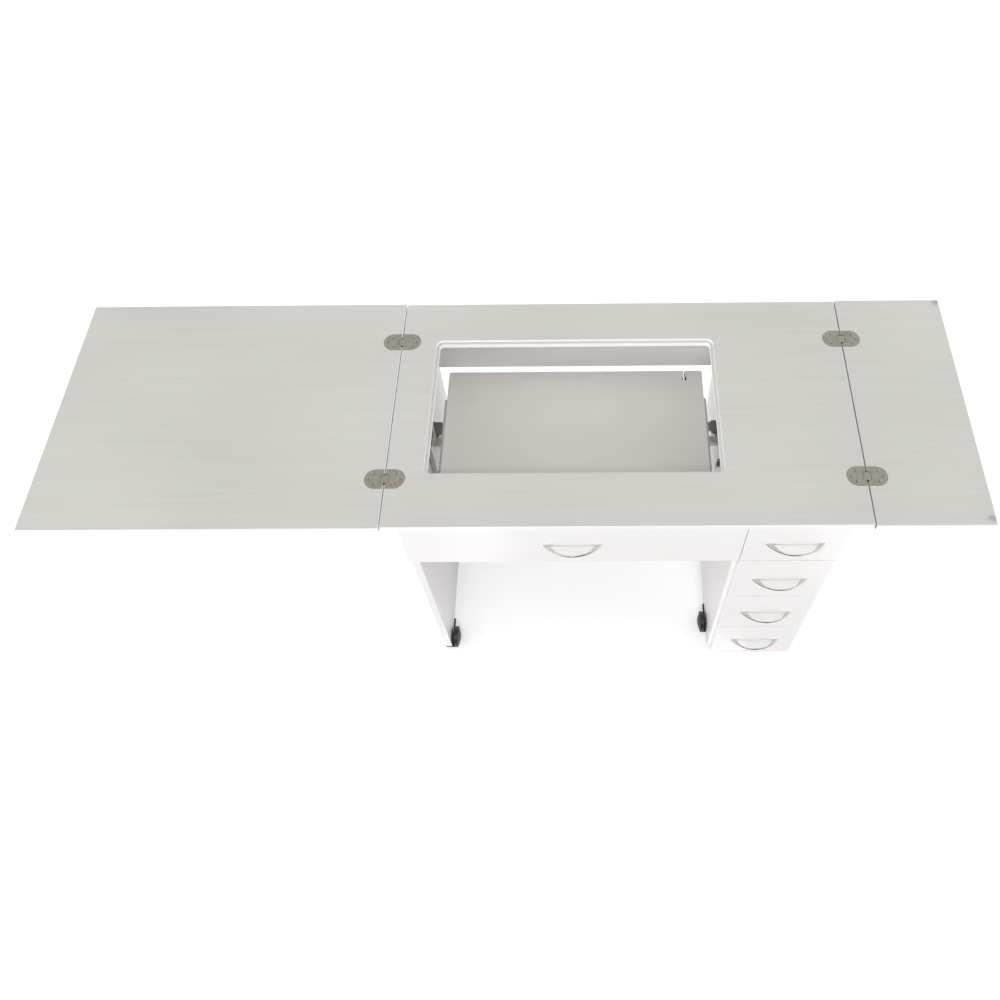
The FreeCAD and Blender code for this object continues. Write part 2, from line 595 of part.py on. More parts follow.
def bow_handle(x, z):
    """Thin bow on one arc, rounded outside, with ends that flare where they stand on the front."""
    half, low = HANDLE_L / 2, z - HANDLE_H / 2
    foot = half - HANDLE_FOOT
    r = (half ** 2 + HANDLE_OUT ** 2) / (2 * HANDLE_OUT)
    neck_out = math.sqrt((r - HANDLE_T) ** 2 - HANDLE_NECK ** 2) - (r - HANDLE_OUT)

    def at(dx, out):
        return V(x + dx, FRONT_Y0 - out, low)

    outer = Part.Arc(at(-half, 0), at(0, HANDLE_OUT), at(half, 0)).toShape()
    inner = Part.Arc(at(-HANDLE_NECK, neck_out), at(0, HANDLE_OUT - HANDLE_T),
                     at(HANDLE_NECK, neck_out)).toShape()
    ends = []
    for s in (-1, 1):
        ends.append(Part.makeLine(at(s * half, 0), at(s * foot, 0)))
        ends.append(Part.makeLine(at(s * foot, 0), at(s * HANDLE_NECK, neck_out)))
    rim = Part.Wire(Part.sortEdges([outer, inner] + ends)[0])
    bow = Part.Face(rim).extrude(V(0, 0, HANDLE_H))
    bow = bow.makeFillet(HANDLE_NECK_R, edges_where(
        bow, lambda p, q, e: upright(p, q, e) and abs(abs(p.x - x) - HANDLE_NECK) < 1e-6))
    level = edges_where(bow, lambda p, q, e: abs(p.z - q.z) < 1e-6)
    inside = [e for e in level if min(v.Y for v in e.Vertexes) < FRONT_Y0 - 1e-6]
    bow = bow.makeFillet(HANDLE_EASE, inside)
    return bow.makeFillet(HANDLE_ROUND, edges_where(
        bow, lambda p, q, e: abs(p.z - q.z) < 1e-6 and e.Length > HANDLE_L))


# ---- flap hinges ------------------------------------------------------------------------
def flap_hinge(x, moving):
    """Half of a butt hinge under the flap: the moving half has the middle knuckle and the pin."""
    y, r, gap = FLAP_PIN_Y, FLAP_BARREL_R, FLAP_KNUCKLE_GAP
    z = ROW_1_Z0 - FLAP_PIN_DROP
    third = FLAP_HINGE_L / 3
    x0, x1 = x - FLAP_HINGE_L / 2, x + FLAP_HINGE_L / 2
    m0, m1 = x0 + third + gap / 2, x1 - third - gap / 2
    zt = ROW_1_Z0 - FLAP_LEAF_SET
    zb = zt - FLAP_LEAF_T
    far = r + 1.0
    if moving:
        parts = [block(x0, x1, y - far - FLAP_LEAF_W, y - far, zb, zt),
                 rod_x(m0, m1, y, z, r),
                 rod_x(x0 + 1, x1 - 1, y, z, FLAP_PIN_R),
                 block(m0, m1, y - far, y - 0.2, zb, zt)]
        return joined(parts)
    parts = [block(x0, x1, y + far, y + far + FLAP_LEAF_W, zb, zt)]
    for a, b in ((x0, m0 - gap), (m1 + gap, x1)):
        parts.append(rod_x(a, b, y, z, r))
        parts.append(block(a, b, y + 0.2, y + far, zb, zt))
    return joined(parts).cut(rod_x(x0 - 1, x1 + 1, y, z, FLAP_PIN_R + PIN_PLAY))


# ---- machine lift (left side drawn, right side mirrored) --------------------------------
def both_sides(shape):
    return [shape, mirror_x(shape, MID_X)]


def pivots():
    return [(PIVOT_Y, PIVOT_Z), (PIVOT_Y, PIVOT_Z - PIVOT_STEP)]


def free_pivots():
    return [(FREE_PIVOT_Y, FREE_PIVOT_Z), (FREE_PIVOT_Y, FREE_PIVOT_Z - PIVOT_STEP)]


def lift_side_plate():
    """Slanted plate on the panel, notched for the spring guard, with two studs for the arms."""
    x0 = LEG_IN
    y0, y1, z0, z1 = SIDE_PLATE_Y0, SIDE_PLATE_Y1, SIDE_PLATE_Z0, SIDE_PLATE_Z1
    guard_z = PIVOT_Z + GUARD_OUTLINE[-1][1] - GUARD_PLAY
    slit0, slit1 = GUARD_Y - GUARD_PLAY, GUARD_Y + GUARD_T + GUARD_PLAY
    outline = [(y0, z1), (GUARD_Y - NOTCH_AHEAD, z1),
               (GUARD_Y - NOTCH_FOOT, guard_z + NOTCH_STEP), (slit0, guard_z), (slit1, guard_z),
               (slit1, z1), (y1, PIVOT_Z - SIDE_PLATE_BACK), (y1, z0)]
    parts = [polygon_x(outline, x0, x0 + SIDE_PLATE_T)]
    head = ARM_X + ARM_T + STUD_GAP
    for y, z in pivots():
        parts.append(rod_x(x0 + 1, ARM_X - STUD_GAP, y, z, SHOULDER_R))
        parts.append(rod_x(x0 + 1, head + STUD_HEAD_T, y, z, PIVOT_R))
        parts.append(rod_x(head, head + STUD_HEAD_T, y, z, PIVOT_R + STUD_HEAD_OVER))
    return joined(parts)


def spring_guard():
    """Plate that stands on the panel in front of a torsion spring."""
    outline = [(LEG_IN + out, PIVOT_Z + up) for out, up in GUARD_OUTLINE]
    return polygon_y(outline, GUARD_Y, GUARD_Y + GUARD_T)


def lift_strip():
    """Upright strip and its foot, welded to the left side plate."""
    x0, z0 = LEG_IN, SIDE_PLATE_Z0
    ya, yc = PIVOT_Y - STRIP_AHEAD, SIDE_PLATE_Y1
    yb = ya + STRIP_W
    za, zb = z0 + STRIP_FOOT_H, SIDE_PLATE_Z1 + STRIP_OVER
    outline = [(ya, z0), (yc, z0), (yc, za), (yb, za), (yb, zb), (ya, zb)]
    return polygon_x(outline, x0, x0 + SIDE_PLATE_T)


def latch_pin_x():
    return PED_X0 - LATCH_PIN_OUT


def latch_block():
    """Nylon block on the pedestal's panel with the pin that carries the latch spring."""
    half = LATCH_W / 2
    body = rounded_block(PED_X0 - LATCH_T, PED_X0, LATCH_Y - half, LATCH_Y + half,
                         LATCH_Z1 - LATCH_H, LATCH_Z1, 2.0)
    pin = rod_z(latch_pin_x(), LATCH_Y, LATCH_Z1 - 1, LATCH_Z1 + LATCH_SPRING_L - 3, LATCH_PIN_R)
    return joined([body, pin])


def coil(r, wire, pitch, turns):
    helix = Part.makeHelix(pitch, pitch * turns, r)
    ring = Part.Wire(Part.makeCircle(wire, V(r, 0, 0), V(0, 1, 0)))
    return Part.Wire(helix).makePipeShell([ring], True, True)


def latch_spring():
    pitch = 3.0
    turns = (LATCH_SPRING_L - 2 * LATCH_SPRING_WIRE) / pitch
    s = coil(LATCH_SPRING_R, LATCH_SPRING_WIRE, pitch, turns)
    s.translate(V(latch_pin_x(), LATCH_Y, LATCH_Z1 + LATCH_SPRING_WIRE + 0.1))
    return s


def arm_bar(x0, dz, open_front):
    ya, za = PIVOT_Y, PIVOT_Z + dz
    yb, zb = FREE_PIVOT_Y, FREE_PIVOT_Z + dz
    bar = block(x0, x0 + ARM_T, 0, ARM_L, -ARM_R + 2, ARM_R - 2)
    bar.rotate(V(0, 0, 0), V(1, 0, 0), 180 + math.degrees(ARM_ANGLE))
    bar.translate(V(0, ya, za))
    ends = [rod_x(x0, x0 + ARM_T, y, z, ARM_R) for y, z in ((ya, za), (yb, zb))]
    front = PIVOT_R + (OPEN_PIVOT_PLAY if open_front else PIVOT_PLAY)
    holes = [rod_x(x0 - 1, x0 + ARM_T + 1, ya, za, PIVOT_R + PIVOT_PLAY),
             rod_x(x0 - 1, x0 + ARM_T + 1, yb, zb, front)]
    return less(joined([bar] + ends), holes)


def upper_arms():
    """Both upper arms and the tube that ties them, one welded piece."""
    arms = both_sides(arm_bar(ARM_X, 0, False))
    y = PIVOT_Y - TUBE_AT * math.cos(ARM_ANGLE)
    z = PIVOT_Z - TUBE_AT * math.sin(ARM_ANGLE)
    tube = rod_x(ARM_X + ARM_T - 1, 2 * MID_X - ARM_X - ARM_T + 1, y, z, TUBE_R)
    return joined(arms + [tube])


def lower_arms():
    return both_sides(arm_bar(ARM_X, -PIVOT_STEP, True))


def platform():
    b = rounded_block(PLAT_X0, PLAT_X1, PLAT_Y0, PLAT_Y1, PLAT_Z1 - BOARD, PLAT_Z1, PLAT_R)
    x = PLAT_X1 - SLOT_IN
    slot = block(x - SLOT_W / 2, x + SLOT_W / 2, PLAT_Y1 - SLOT_L, PLAT_Y1 + 1,
                 PLAT_Z1 - BOARD - 1, PLAT_Z1 + 1)
    eye = rod_z(x, PLAT_Y1 - SLOT_L, PLAT_Z1 - BOARD - 1, PLAT_Z1 + 1, SLOT_EYE_R)
    return less(b, [slot, eye])


def platform_rail():
    """Steel angle along the platform's side with a drop plate and two studs for the arms."""
    x1 = PLAT_X0 - RAIL_SEAT
    x0 = x1 - RAIL_T
    under = PLAT_Z1 - BOARD
    skirt = under - RAIL_SKIRT
    shelf_z = under - RAIL_SEAT
    (ya, za), (yb, zb) = free_pivots()
    strip = block(x0, x1, RAIL_Y0, RAIL_Y1, skirt, PLAT_Z1 - RAIL_TOP_SET)
    shelf = block(x0, x1 + RAIL_SHELF, RAIL_Y0, RAIL_Y1, shelf_z - RAIL_T, shelf_z)
    w, n, low = DROP_TOP_HALF, DROP_HALF, zb - DROP_BELOW
    drop = polygon_x([(ya - w, skirt), (ya - n, zb), (ya - n, low), (ya + n, low), (ya + n, zb),
                      (ya + w, skirt), (ya + w, under), (ya - w, under)], x0, x1)
    parts = [strip, shelf, drop]
    head = ARM_X - STUD_GAP
    for y, z in free_pivots():
        parts.append(rod_x(x0 + 1, ARM_X + ARM_T + STUD_GAP, y, z, SHOULDER_R))
        parts.append(rod_x(x0 + 1, head - STUD_HEAD_T, y, z, PIVOT_R))
        parts.append(rod_x(head - STUD_HEAD_T, head, y, z, PIVOT_R + STUD_HEAD_OVER))
    return joined(parts)


def lift_spring():
    """Coil of a torsion spring round the upper fixed stud, behind its guard."""
    y, z = pivots()[0]
    s = coil(SPRING_R, SPRING_WIRE, SPRING_PITCH, SPRING_TURNS)
    s.rotate(V(0, 0, 0), V(0, 1, 0), 90)
    s.translate(V(LEG_IN + SIDE_PLATE_T + SPRING_WIRE + 0.4, y, z))
    return s


# ---- leaf supports ----------------------------------------------------------------------
def support_bar(x0, length, y):
    b = block(x0, x0 + length, y - BAR_W / 2, y + BAR_W / 2, BAR_Z1 - BAR_H, BAR_Z1)
    ends = edges_where(b, upright)
    return b.makeFillet(3.0, ends)


def support_guide(x0, y):
    half = BAR_W / 2 + BAR_PLAY
    low = BAR_Z1 - BAR_H - BAR_PLAY
    x1 = x0 + GUIDE_L
    outer = block(x0, x1, y - half - GUIDE_T, y + half + GUIDE_T, low - GUIDE_T, UNDER)
    ears = block(x0, x1, y - half - GUIDE_EAR, y + half + GUIDE_EAR, UNDER - GUIDE_T, UNDER)
    return joined([outer, ears]).cut(block(x0 - 1, x1 + 1, y - half, y + half, low, UNDER + 1))


# ---- casters ----------------------------------------------------------------------------
def caster_places():
    """Panel face, direction into the room, axle's y, direction of the foot along Y."""
    ly0, ly1 = PANEL_Y0 + LEG_CASTER_IN, PANEL_Y1 - LEG_CASTER_IN
    py0, py1 = PANEL_Y0 + PED_CASTER_IN, PANEL_Y1 - PED_CASTER_IN
    return [(LEG_IN, 1, ly0, 1), (LEG_IN, 1, ly1, -1), (PED_X0, -1, py0, 1), (PED_X0, -1, py1, -1),
            (PED_IN1, -1, py0, 1), (PED_IN1, -1, py1, -1)]


def place_caster(shape, face, way, y, foot_way):
    if foot_way < 0:
        shape = shape.mirror(V(0, 0, 0), V(0, 1, 0))
    if way < 0:
        shape = mirror_x(shape, 0)
    shape = shape.copy()
    shape.translate(V(face, y, 0))
    return shape


def caster_bracket():
    """Foot plate under the panel with an upright cheek off its face that carries the axle peg."""
    z1 = PANEL_Z0 - FOOT_GAP
    z0, x1 = z1 - FOOT_T, CHEEK_IN + CHEEK_T
    cheek = block(CHEEK_IN, x1, -CHEEK_HALF, CHEEK_HALF, z0, CHEEK_TOP)
    cheek = cheek.makeFillet(CHEEK_R, edges_where(
        cheek, lambda p, q, e: abs(p.z - CHEEK_TOP) < 1e-6 and abs(q.z - CHEEK_TOP) < 1e-6
        and abs(p.y - q.y) < 1e-6))
    foot = block(-BOARD, FOOT_OUT, -FOOT_AHEAD, FOOT_REACH, z0, z1)
    pad = block(0, x1, -FOOT_AHEAD, FOOT_AHEAD, z0, z1)
    lip = block(0, FOOT_LIP_END, -FOOT_AHEAD, -FOOT_AHEAD + FOOT_LIP, z0, z1)
    peg = rod_x(CHEEK_IN + 1, x1 + WHEEL_GAP + WHEEL_W, 0, WHEEL_R, AXLE_R)
    return joined([cheek, foot, pad, lip, peg])


def caster_wheel():
    """Solid wheel with a rounded tread and a domed cap that closes the axle's bore."""
    x0 = CHEEK_IN + CHEEK_T + WHEEL_GAP
    x1 = x0 + WHEEL_W
    tyre = rod_x(x0, x1, 0, WHEEL_R, WHEEL_R)
    rim = [e for e in tyre.Edges if len(e.Vertexes) == 1]
    tyre = tyre.makeFillet(1.5, rim)
    r = WHEEL_R - 4.0
    ball_r = (r * r + WHEEL_DOME * WHEEL_DOME) / (2 * WHEEL_DOME)
    ball = Part.makeSphere(ball_r, V(x1 + WHEEL_DOME - ball_r, 0, WHEEL_R))
    cap = ball.common(rod_x(x1 - 1.0, x1 + WHEEL_DOME + 1, 0, WHEEL_R, r + 2))
    bore = rod_x(x0 - 1, x1 + 0.5, 0, WHEEL_R, AXLE_R + AXLE_PLAY)
    return joined([tyre, cap]).cut(bore)


# ---- assembly ---------------------------------------------------------------------------
def tops_and_hinges():
    top_l, screws_l = hinge_set(LEFT_SEAM, 1)
    top_r, screws_r = hinge_set(RIGHT_SEAM, -1)
    leaf_l, leaf_screws_l = hinge_set(LEFT_SEAM, -1)
    leaf_r, leaf_screws_r = hinge_set(RIGHT_SEAM, 1)
    links_l, pins_l = link_set(LEFT_SEAM)
    links_r, pins_r = link_set(RIGHT_SEAM)
    return {
        "centre_top": [centre_top()], "left_leaf": [left_leaf()], "right_leaf": [right_leaf()],
        "hinge_plates_top": top_l + top_r, "hinge_screws_top": screws_l + screws_r,
        "hinge_plates_left": leaf_l, "hinge_screws_left": leaf_screws_l,
        "hinge_plates_right": leaf_r, "hinge_screws_right": leaf_screws_r,
        "hinge_links_left": links_l, "hinge_pins_left": pins_l,
        "hinge_links_right": links_r, "hinge_pins_right": pins_r,
        "leaf_bumpers": [bumper(x, y) for x, y in BUMPER_XY],
    }


def case():
    return {
        "left_leg_panel": [upright_panel(LEG_X0, LEFT_BAR_Y)],
        "pedestal_left_panel": [upright_panel(PED_X0, ())],
        "pedestal_right_panel": [upright_panel(PED_IN1, (RIGHT_BAR_Y,))],
        "pedestal_back_panel": [block(PED_IN0, PED_IN1, BACK_IN, PANEL_Y1, PANEL_Z0, UNDER)],
        "pedestal_bottom_panel": [block(PED_IN0, PED_IN1, PANEL_Y0, BACK_IN, PED_BOTTOM_Z0,
                                        PED_BOTTOM_Z0 + BOARD)],
        "rear_rail": [block(LEG_IN, PED_X0, BACK_IN, PANEL_Y1, UNDER - RAIL_H, UNDER)],
        "front_rail": [block(LEG_IN, PED_X0, PANEL_Y0 + FRONT_RAIL_SET,
                             PANEL_Y0 + FRONT_RAIL_SET + BOARD, ROW_1_Z0,
                             ROW_1_Z0 + FRONT_RAIL_H)],
        "flap_hinge_leaves": [flap_hinge(x, False) for x in FLAP_HINGE_X],
        "drawer_cleats": cleats(),
        "support_guides": [support_guide(LEG_IN + LEFT_GUIDE_IN, y) for y in LEFT_BAR_Y]
        + [support_guide(PED_IN1 - RIGHT_GUIDE_IN - GUIDE_L, RIGHT_BAR_Y)],
    }


def fronts_and_drawers():
    rows = {1: (ROW_1_Z0, ROW_1_Z1, DRAWER_1_X0, DRAWER_1_X1),
            2: (ROW_2_Z0, ROW_2_Z1, DRAWER_N_X0, DRAWER_N_X1),
            3: (ROW_3_Z0, ROW_3_Z1, DRAWER_N_X0, DRAWER_N_X1),
            4: (ROW_4_Z0, ROW_4_Z1, DRAWER_N_X0, DRAWER_N_X1)}
    out = {
        "front_flap": [front_board(FLAP_X0, FLAP_X1, ROW_1_Z0, ROW_1_Z1)],
        "flap_handle": [bow_handle((FLAP_X0 + FLAP_X1) / 2, (ROW_1_Z0 + ROW_1_Z1) / 2)],
        "flap_hinge_arms": [flap_hinge(x, True) for x in FLAP_HINGE_X],
    }
    for n, (z0, z1, x0, x1) in rows.items():
        out["drawer_front_%d" % n] = [front_board(x0, x1, z0, z1)]
        out["drawer_handle_%d" % n] = [bow_handle((x0 + x1) / 2, (z0 + z1) / 2)]
        out["drawer_shell_%d" % n] = [drawer_shell(*SHELL_Z[n])]
        out["drawer_bottom_%d" % n] = [drawer_bottom(SHELL_Z[n][0])]
    return out


def lift():
    left_plate, right_plate = both_sides(lift_side_plate())
    return {
        "lift_side_plates": [joined([left_plate, lift_strip()]), right_plate],
        "lift_springs": both_sides(lift_spring()) + both_sides(spring_guard()) + [latch_spring()],
        "lift_latch": [latch_block()],
        "lift_upper_arms": [upper_arms()],
        "lift_lower_arms": lower_arms(),
        "lift_platform": [platform()],
        "platform_rails": both_sides(platform_rail()),
    }


def supports_and_casters():
    left_x = LEG_X0 - LEFT_BAR_OUT
    right_x = PED_X1 - RIGHT_BAR_L + RIGHT_BAR_OUT
    out = {
        "support_bar_left_front": [support_bar(left_x, LEFT_BAR_L, LEFT_BAR_Y[0])],
        "support_bar_left_rear": [support_bar(left_x, LEFT_BAR_L, LEFT_BAR_Y[1])],
        "support_bar_right": [support_bar(right_x, RIGHT_BAR_L, RIGHT_BAR_Y)],
        "caster_brackets": [place_caster(caster_bracket(), *p) for p in caster_places()],
    }
    for n, p in enumerate(caster_places(), 1):
        out["caster_wheel_%d" % n] = [place_caster(caster_wheel(), *p)]
    return out


def write(name, shapes):
    moved = []
    for s in shapes:
        s = s.copy()
        s.translate(MOVE)
        for solid in s.Solids:
            moved.append(solid)
    shape = moved[0] if len(moved) == 1 else Part.makeCompound(moved)
    shape.exportStep(os.path.join("parts", name + ".step"))
    bad = [s for s in moved if not s.isValid() or s.Volume <= 0]
    box = shape.BoundBox
    print("%-24s solids %2d  volume %10.0f  x %8.1f %8.1f  y %7.1f %7.1f  z %6.1f %6.1f%s" % (
        name, len(moved), sum(s.Volume for s in moved), box.XMin, box.XMax, box.YMin, box.YMax,
        box.ZMin, box.ZMax, "  INVALID" if bad else ""))


def main():
    os.makedirs("parts", exist_ok=True)
    nodes = {}
    for group in (tops_and_hinges(), case(), fronts_and_drawers(), lift(), supports_and_casters()):
        nodes.update(group)
    for name in sorted(nodes):
        write(name, nodes[name])
    print("nodes", len(nodes), "offset", MOVE)
    print("left hinge pins x", LEFT_SEAM + PIN_SPACING / 2 + MOVE.x, LEFT_SEAM - PIN_SPACING / 2 + MOVE.x)
    print("right hinge pins x", RIGHT_SEAM - PIN_SPACING / 2 + MOVE.x, RIGHT_SEAM + PIN_SPACING / 2 + MOVE.x)
    print("free pivot y z", FREE_PIVOT_Y + MOVE.y, FREE_PIVOT_Z, "arm angle", math.degrees(ARM_ANGLE))


main()
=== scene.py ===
import math
from collections import namedtuple

import bmesh
import bpy
from mathutils import Matrix, Vector


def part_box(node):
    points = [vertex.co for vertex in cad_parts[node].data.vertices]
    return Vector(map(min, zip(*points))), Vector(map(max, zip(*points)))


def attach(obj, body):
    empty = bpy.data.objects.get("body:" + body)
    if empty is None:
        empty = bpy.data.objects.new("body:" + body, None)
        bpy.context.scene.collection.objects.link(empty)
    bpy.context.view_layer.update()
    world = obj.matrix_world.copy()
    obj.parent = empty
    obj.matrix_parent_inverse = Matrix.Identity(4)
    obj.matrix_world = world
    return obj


# Folding sewing and cutting table: finishes, small fasteners, light and camera.
# Metres, X to the right, Y to the back, Z up from the floor.

MM = 0.001
DRAWERS = range(1, 5)
CASTERS = range(1, 7)

# ---- view -------------------------------------------------------------------------------
CAMERA_AT = (0.1702, -1.0425, 2.3720)
CAMERA_DOWN = 56.71           # degrees below level
CAMERA_LEFT = 1.31            # turned to the left of straight back
CAMERA_ROLL = 1.50
FRAME_PX = 1000               # width and height of the picture
FOCAL_PX = 931.7
CENTRE_PX = (579.8, 403.9)    # where the lens axis meets the picture, from its top left
SENSOR_MM = 36.0

# ---- light ------------------------------------------------------------------------------
# A level is how brightly a white matt surface that faces the light renders, 1 being white.
# Each lamp is a distant soft panel: degrees round from the front to the right, degrees up,
# its width in degrees, its level, and whether metal and gloss show it.
Panel = namedtuple("Panel", "around up width level mirrored")
PANELS = {
    "front_low": Panel(0, 8, 5, 0.25, False),     # throws the handles' shadows on the fronts
    "front_left": Panel(-35, 20, 40, 0.24, False),
    "left_side": Panel(-90, 15, 40, 0.36, True),
    "left_high": Panel(-90, 40, 60, 0.12, True),
    "right_side": Panel(90, 15, 40, 0.30, True),
    "right_high": Panel(90, 40, 60, 0.22, True),
    "front_high": Panel(-5, 57, 15, 0.15, True),
    "behind": Panel(180, 10, 40, 0.34, True)}
LAMP_AWAY = 6.0               # where a lamp hangs; a distant lamp is the same from anywhere
SKY_LEVEL = 0.31
FLOOR_REACH = 60.0            # half width of the floor
FLOOR_GLOW = 0.31             # share of the floor's white that shade can't take away
FLOOR_SHOWN = 0.90            # its white where it is seen
FLOOR_MATT = 0.68             # what the floor throws back on the table

# Black cards, seen only in reflections, that draw the dark lines on the metal: the left,
# right, front and back edge of those that lie on the floor, and one that stands in front.
LYING_CARDS = ((-0.07, 0.80, -2.00, -0.30), (0.99, 1.50, -0.56, -0.05),
               (-0.50, -0.22, -0.56, -0.05), (0.56, 0.72, -0.34, -0.08))
CARD_UP = 2 * MM              # clear of the floor
FELT_WHITE = 0.01             # how much light the felt throws back
STANDING_CARD = (-0.30, 1.10, -2.00, 1.45)     # left, right, place along Y, height

# ---- screws, all pan heads with a cross recess ------------------------------------------
Screw = namedtuple("Screw", "radius height")
BRACKET_SCREW = Screw(3.6 * MM, 1.9 * MM)
PLATE_SCREW = Screw(4.2 * MM, 2.4 * MM)
SMALL_SCREW = Screw(2.6 * MM, 1.5 * MM)
HANDLE_SCREW = Screw(4.4 * MM, 2.4 * MM)
GUARD_RIVET = Screw(2.8 * MM, 1.6 * MM)
HEAD_SIDES = 20
DOME = ((0.45, 1.0), (0.30, 0.86), (0.25, 0.60))   # share of the height, then of the radius
RECESS_SHARE = 0.95           # recess length over the head's radius
RECESS_WIDTH = 0.26           # its width over the radius
HEAD_MERGE = 0.01 * MM        # points of one head this close are one point
WELD = 0.002 * MM             # and so are points this close in a finished piece
SEED = 11                     # draws how far each recess is turned

# ---- where the screws sit ---------------------------------------------------------------
HANDLE_SCREW_IN = 7.0 * MM    # in from a handle's ends
CLEAT_REACH = 8.5 * MM        # cleat's face off the pedestal's panel
CLEAT_SHARES = (0.08, 0.5, 0.92)               # along a cleat
SIDE_PLATE_T = 3.0 * MM
PLATE_SCREWS = ((72 * MM, 157 * MM), (87.5 * MM, 164.5 * MM),
                (12 * MM, 32 * MM), (12 * MM, 100 * MM))     # forward, up
RIVET_OUT = 17.8 * MM         # off the pedestal's left panel
RIVET_UP = 153.8 * MM         # above the side plate's lowest corner
GUARD_FRONT = 47.0 * MM       # guard's front face, forward of the side plate's back edge
GUIDE_HALF = 10.0 * MM        # half a guide's width
GUIDE_T = 3.0 * MM
GUIDE_EAR = 7.5 * MM          # screw off the bar's side
FLAP_LEAF_T = 0.9 * MM
FLAP_LEAF_HALF = 6.0 * MM     # half a hinge leaf's width
FLAP_SCREW_IN = 7.0 * MM      # in from a hinge leaf's ends
FLAP_HINGE_L = 50.0 * MM
SHELF_UNDER = 4.2 * MM        # the rails' shelf, its lower face below the platform
SHELF_SCREW_IN = 18.0 * MM    # in from the rail's outer side
SHELF_SHARES = (0.12, 0.5, 0.88)               # along a rail
CASTER_PANELS = (             # panel over each caster, and which way its foot reaches
    ("left_leg_panel", 1), ("left_leg_panel", -1),
    ("pedestal_left_panel", 1), ("pedestal_left_panel", -1),
    ("pedestal_right_panel", 1), ("pedestal_right_panel", -1))
BRACKET_SCREWS = (-14 * MM, 40 * MM)           # from the axle, along the foot

# ---- thin black strip that makes the walls of the platform's cable slot dark ------------
SLOT_IN = 40.0 * MM           # in from the platform's right end
SLOT_HALF = 2.5 * MM          # half its width
SLOT_L = 22.0 * MM            # from the platform's back edge to the middle of the eye
SLOT_EYE_R = 5.0 * MM
DARK_STRIP_T = 0.7 * MM
DARK_STRIP_SUNK = 0.25 * MM         # below the platform's faces
DARK_STRIP_SIDES = 28               # steps round the eye

# ---- finishes ---------------------------------------------------------------------------
SPOTS_LOW, SPOTS_HIGH = 0.3, 0.7               # nearly all of a pattern of spots lies between
SEAM_NEAR = 8.0 * MM          # how far from a seam an edge is painted grey as shade in the joint
FLAT = 0.85                   # a face whose normal has this much of Z looks up or down
SIDEWAYS = 0.7                # and with this much of X it looks to the side
MIX_FIRST, MIX_SECOND, MIX_RESULT = 6, 7, 2    # a colour mix's two inputs and its output


# ---- node helpers -----------------------------------------------------------------------
def linear(code):
    """sRGB hex to the linear colour that sockets take."""
    parts = [int(code[i:i + 2], 16) / 255 for i in (1, 3, 5)]
    bent = [c / 12.92 if c <= 0.04045 else ((c + 0.055) / 1.055) ** 2.4 for c in parts]
    return (*bent, 1.0)


def add(tree, kind, inputs=None, stops=(), **settings):
    """One node, with its settings, its ramp's (place, hex) stops if it has one, and its inputs
    set to values or linked to other nodes."""
    node = tree.nodes.new(kind)
    for name, value in settings.items():
        setattr(node, name, value)
    if stops:
        points = node.color_ramp.elements
        while len(points) < len(stops):
            points.new(0.5)
        for point, (place, code) in zip(points, stops):
            point.position = place
            point.color = linear(code)
    for name, value in (inputs or {}).items():
        socket = node.inputs[name]
        if isinstance(value, bpy.types.NodeSocket):
            tree.links.new(value, socket)
        else:
            socket.default_value = value
    return node


def empty_material(name):
    """A new material and its empty node tree."""
    made = bpy.data.materials.new(name)
    made.use_nodes = True
    made.node_tree.nodes.clear()
    return made, made.node_tree


def start_material(name, constants):
    """A new material, its node tree and its shader with constants set on the sockets."""
    made, tree = empty_material(name)
    shader = add(tree, "ShaderNodeBsdfPrincipled", constants)
    add(tree, "ShaderNodeOutputMaterial", {"Surface": shader.outputs[0]})
    return made, tree, shader


def scaled_place(tree, size):
    """Object coordinates divided by a pattern's size, one for all axes or one for each."""
    place = add(tree, "ShaderNodeTexCoord").outputs["Object"]
    along = size if isinstance(size, tuple) else (size, size, size)
    scale = tuple(1 / s for s in along)
    return add(tree, "ShaderNodeMapping", {"Vector": place, "Scale": scale}).outputs[0]


def spots(tree, size, detail=2.0, roughness=0.5):
    """Soft spots from 0 to 1, as large as size on the piece."""
    place = scaled_place(tree, size)
    inputs = {"Vector": place, "Scale": 1.0, "Detail": detail, "Roughness": roughness}
    return add(tree, "ShaderNodeTexNoise", inputs).outputs["Fac"]


def own_axis(tree, kind, axis):
    """One axis of the piece's own Object or Normal coordinates."""
    place = add(tree, "ShaderNodeTexCoord").outputs[kind]
    return add(tree, "ShaderNodeSeparateXYZ", {"Vector": place}).outputs[axis]


def level_face(tree):
    """1 on faces that look up or down in the piece's own frame, 0 on its edges."""
    upright = add(tree, "ShaderNodeMath", {0: own_axis(tree, "Normal", "Z")}, operation="ABSOLUTE")
    return add(tree, "ShaderNodeMath", {0: upright.outputs[0], 1: FLAT},
               operation="GREATER_THAN").outputs[0]


def seam_edge(tree):
    """1 on the right leaf's edge at its seam with the centre top, where the painted-shade grey
    goes, 0 elsewhere.
    """
    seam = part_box("right_leaf")[0].x
    near = add(tree, "ShaderNodeMath", {0: own_axis(tree, "Object", "X"), 1: seam, 2: SEAM_NEAR},
               operation="COMPARE")
    facing = add(tree, "ShaderNodeMath", {0: own_axis(tree, "Normal", "X"), 1: -SIDEWAYS},
                 operation="LESS_THAN")
    return add(tree, "ShaderNodeMath", {0: near.outputs[0], 1: facing.outputs[0]},
               operation="MULTIPLY").outputs[0]


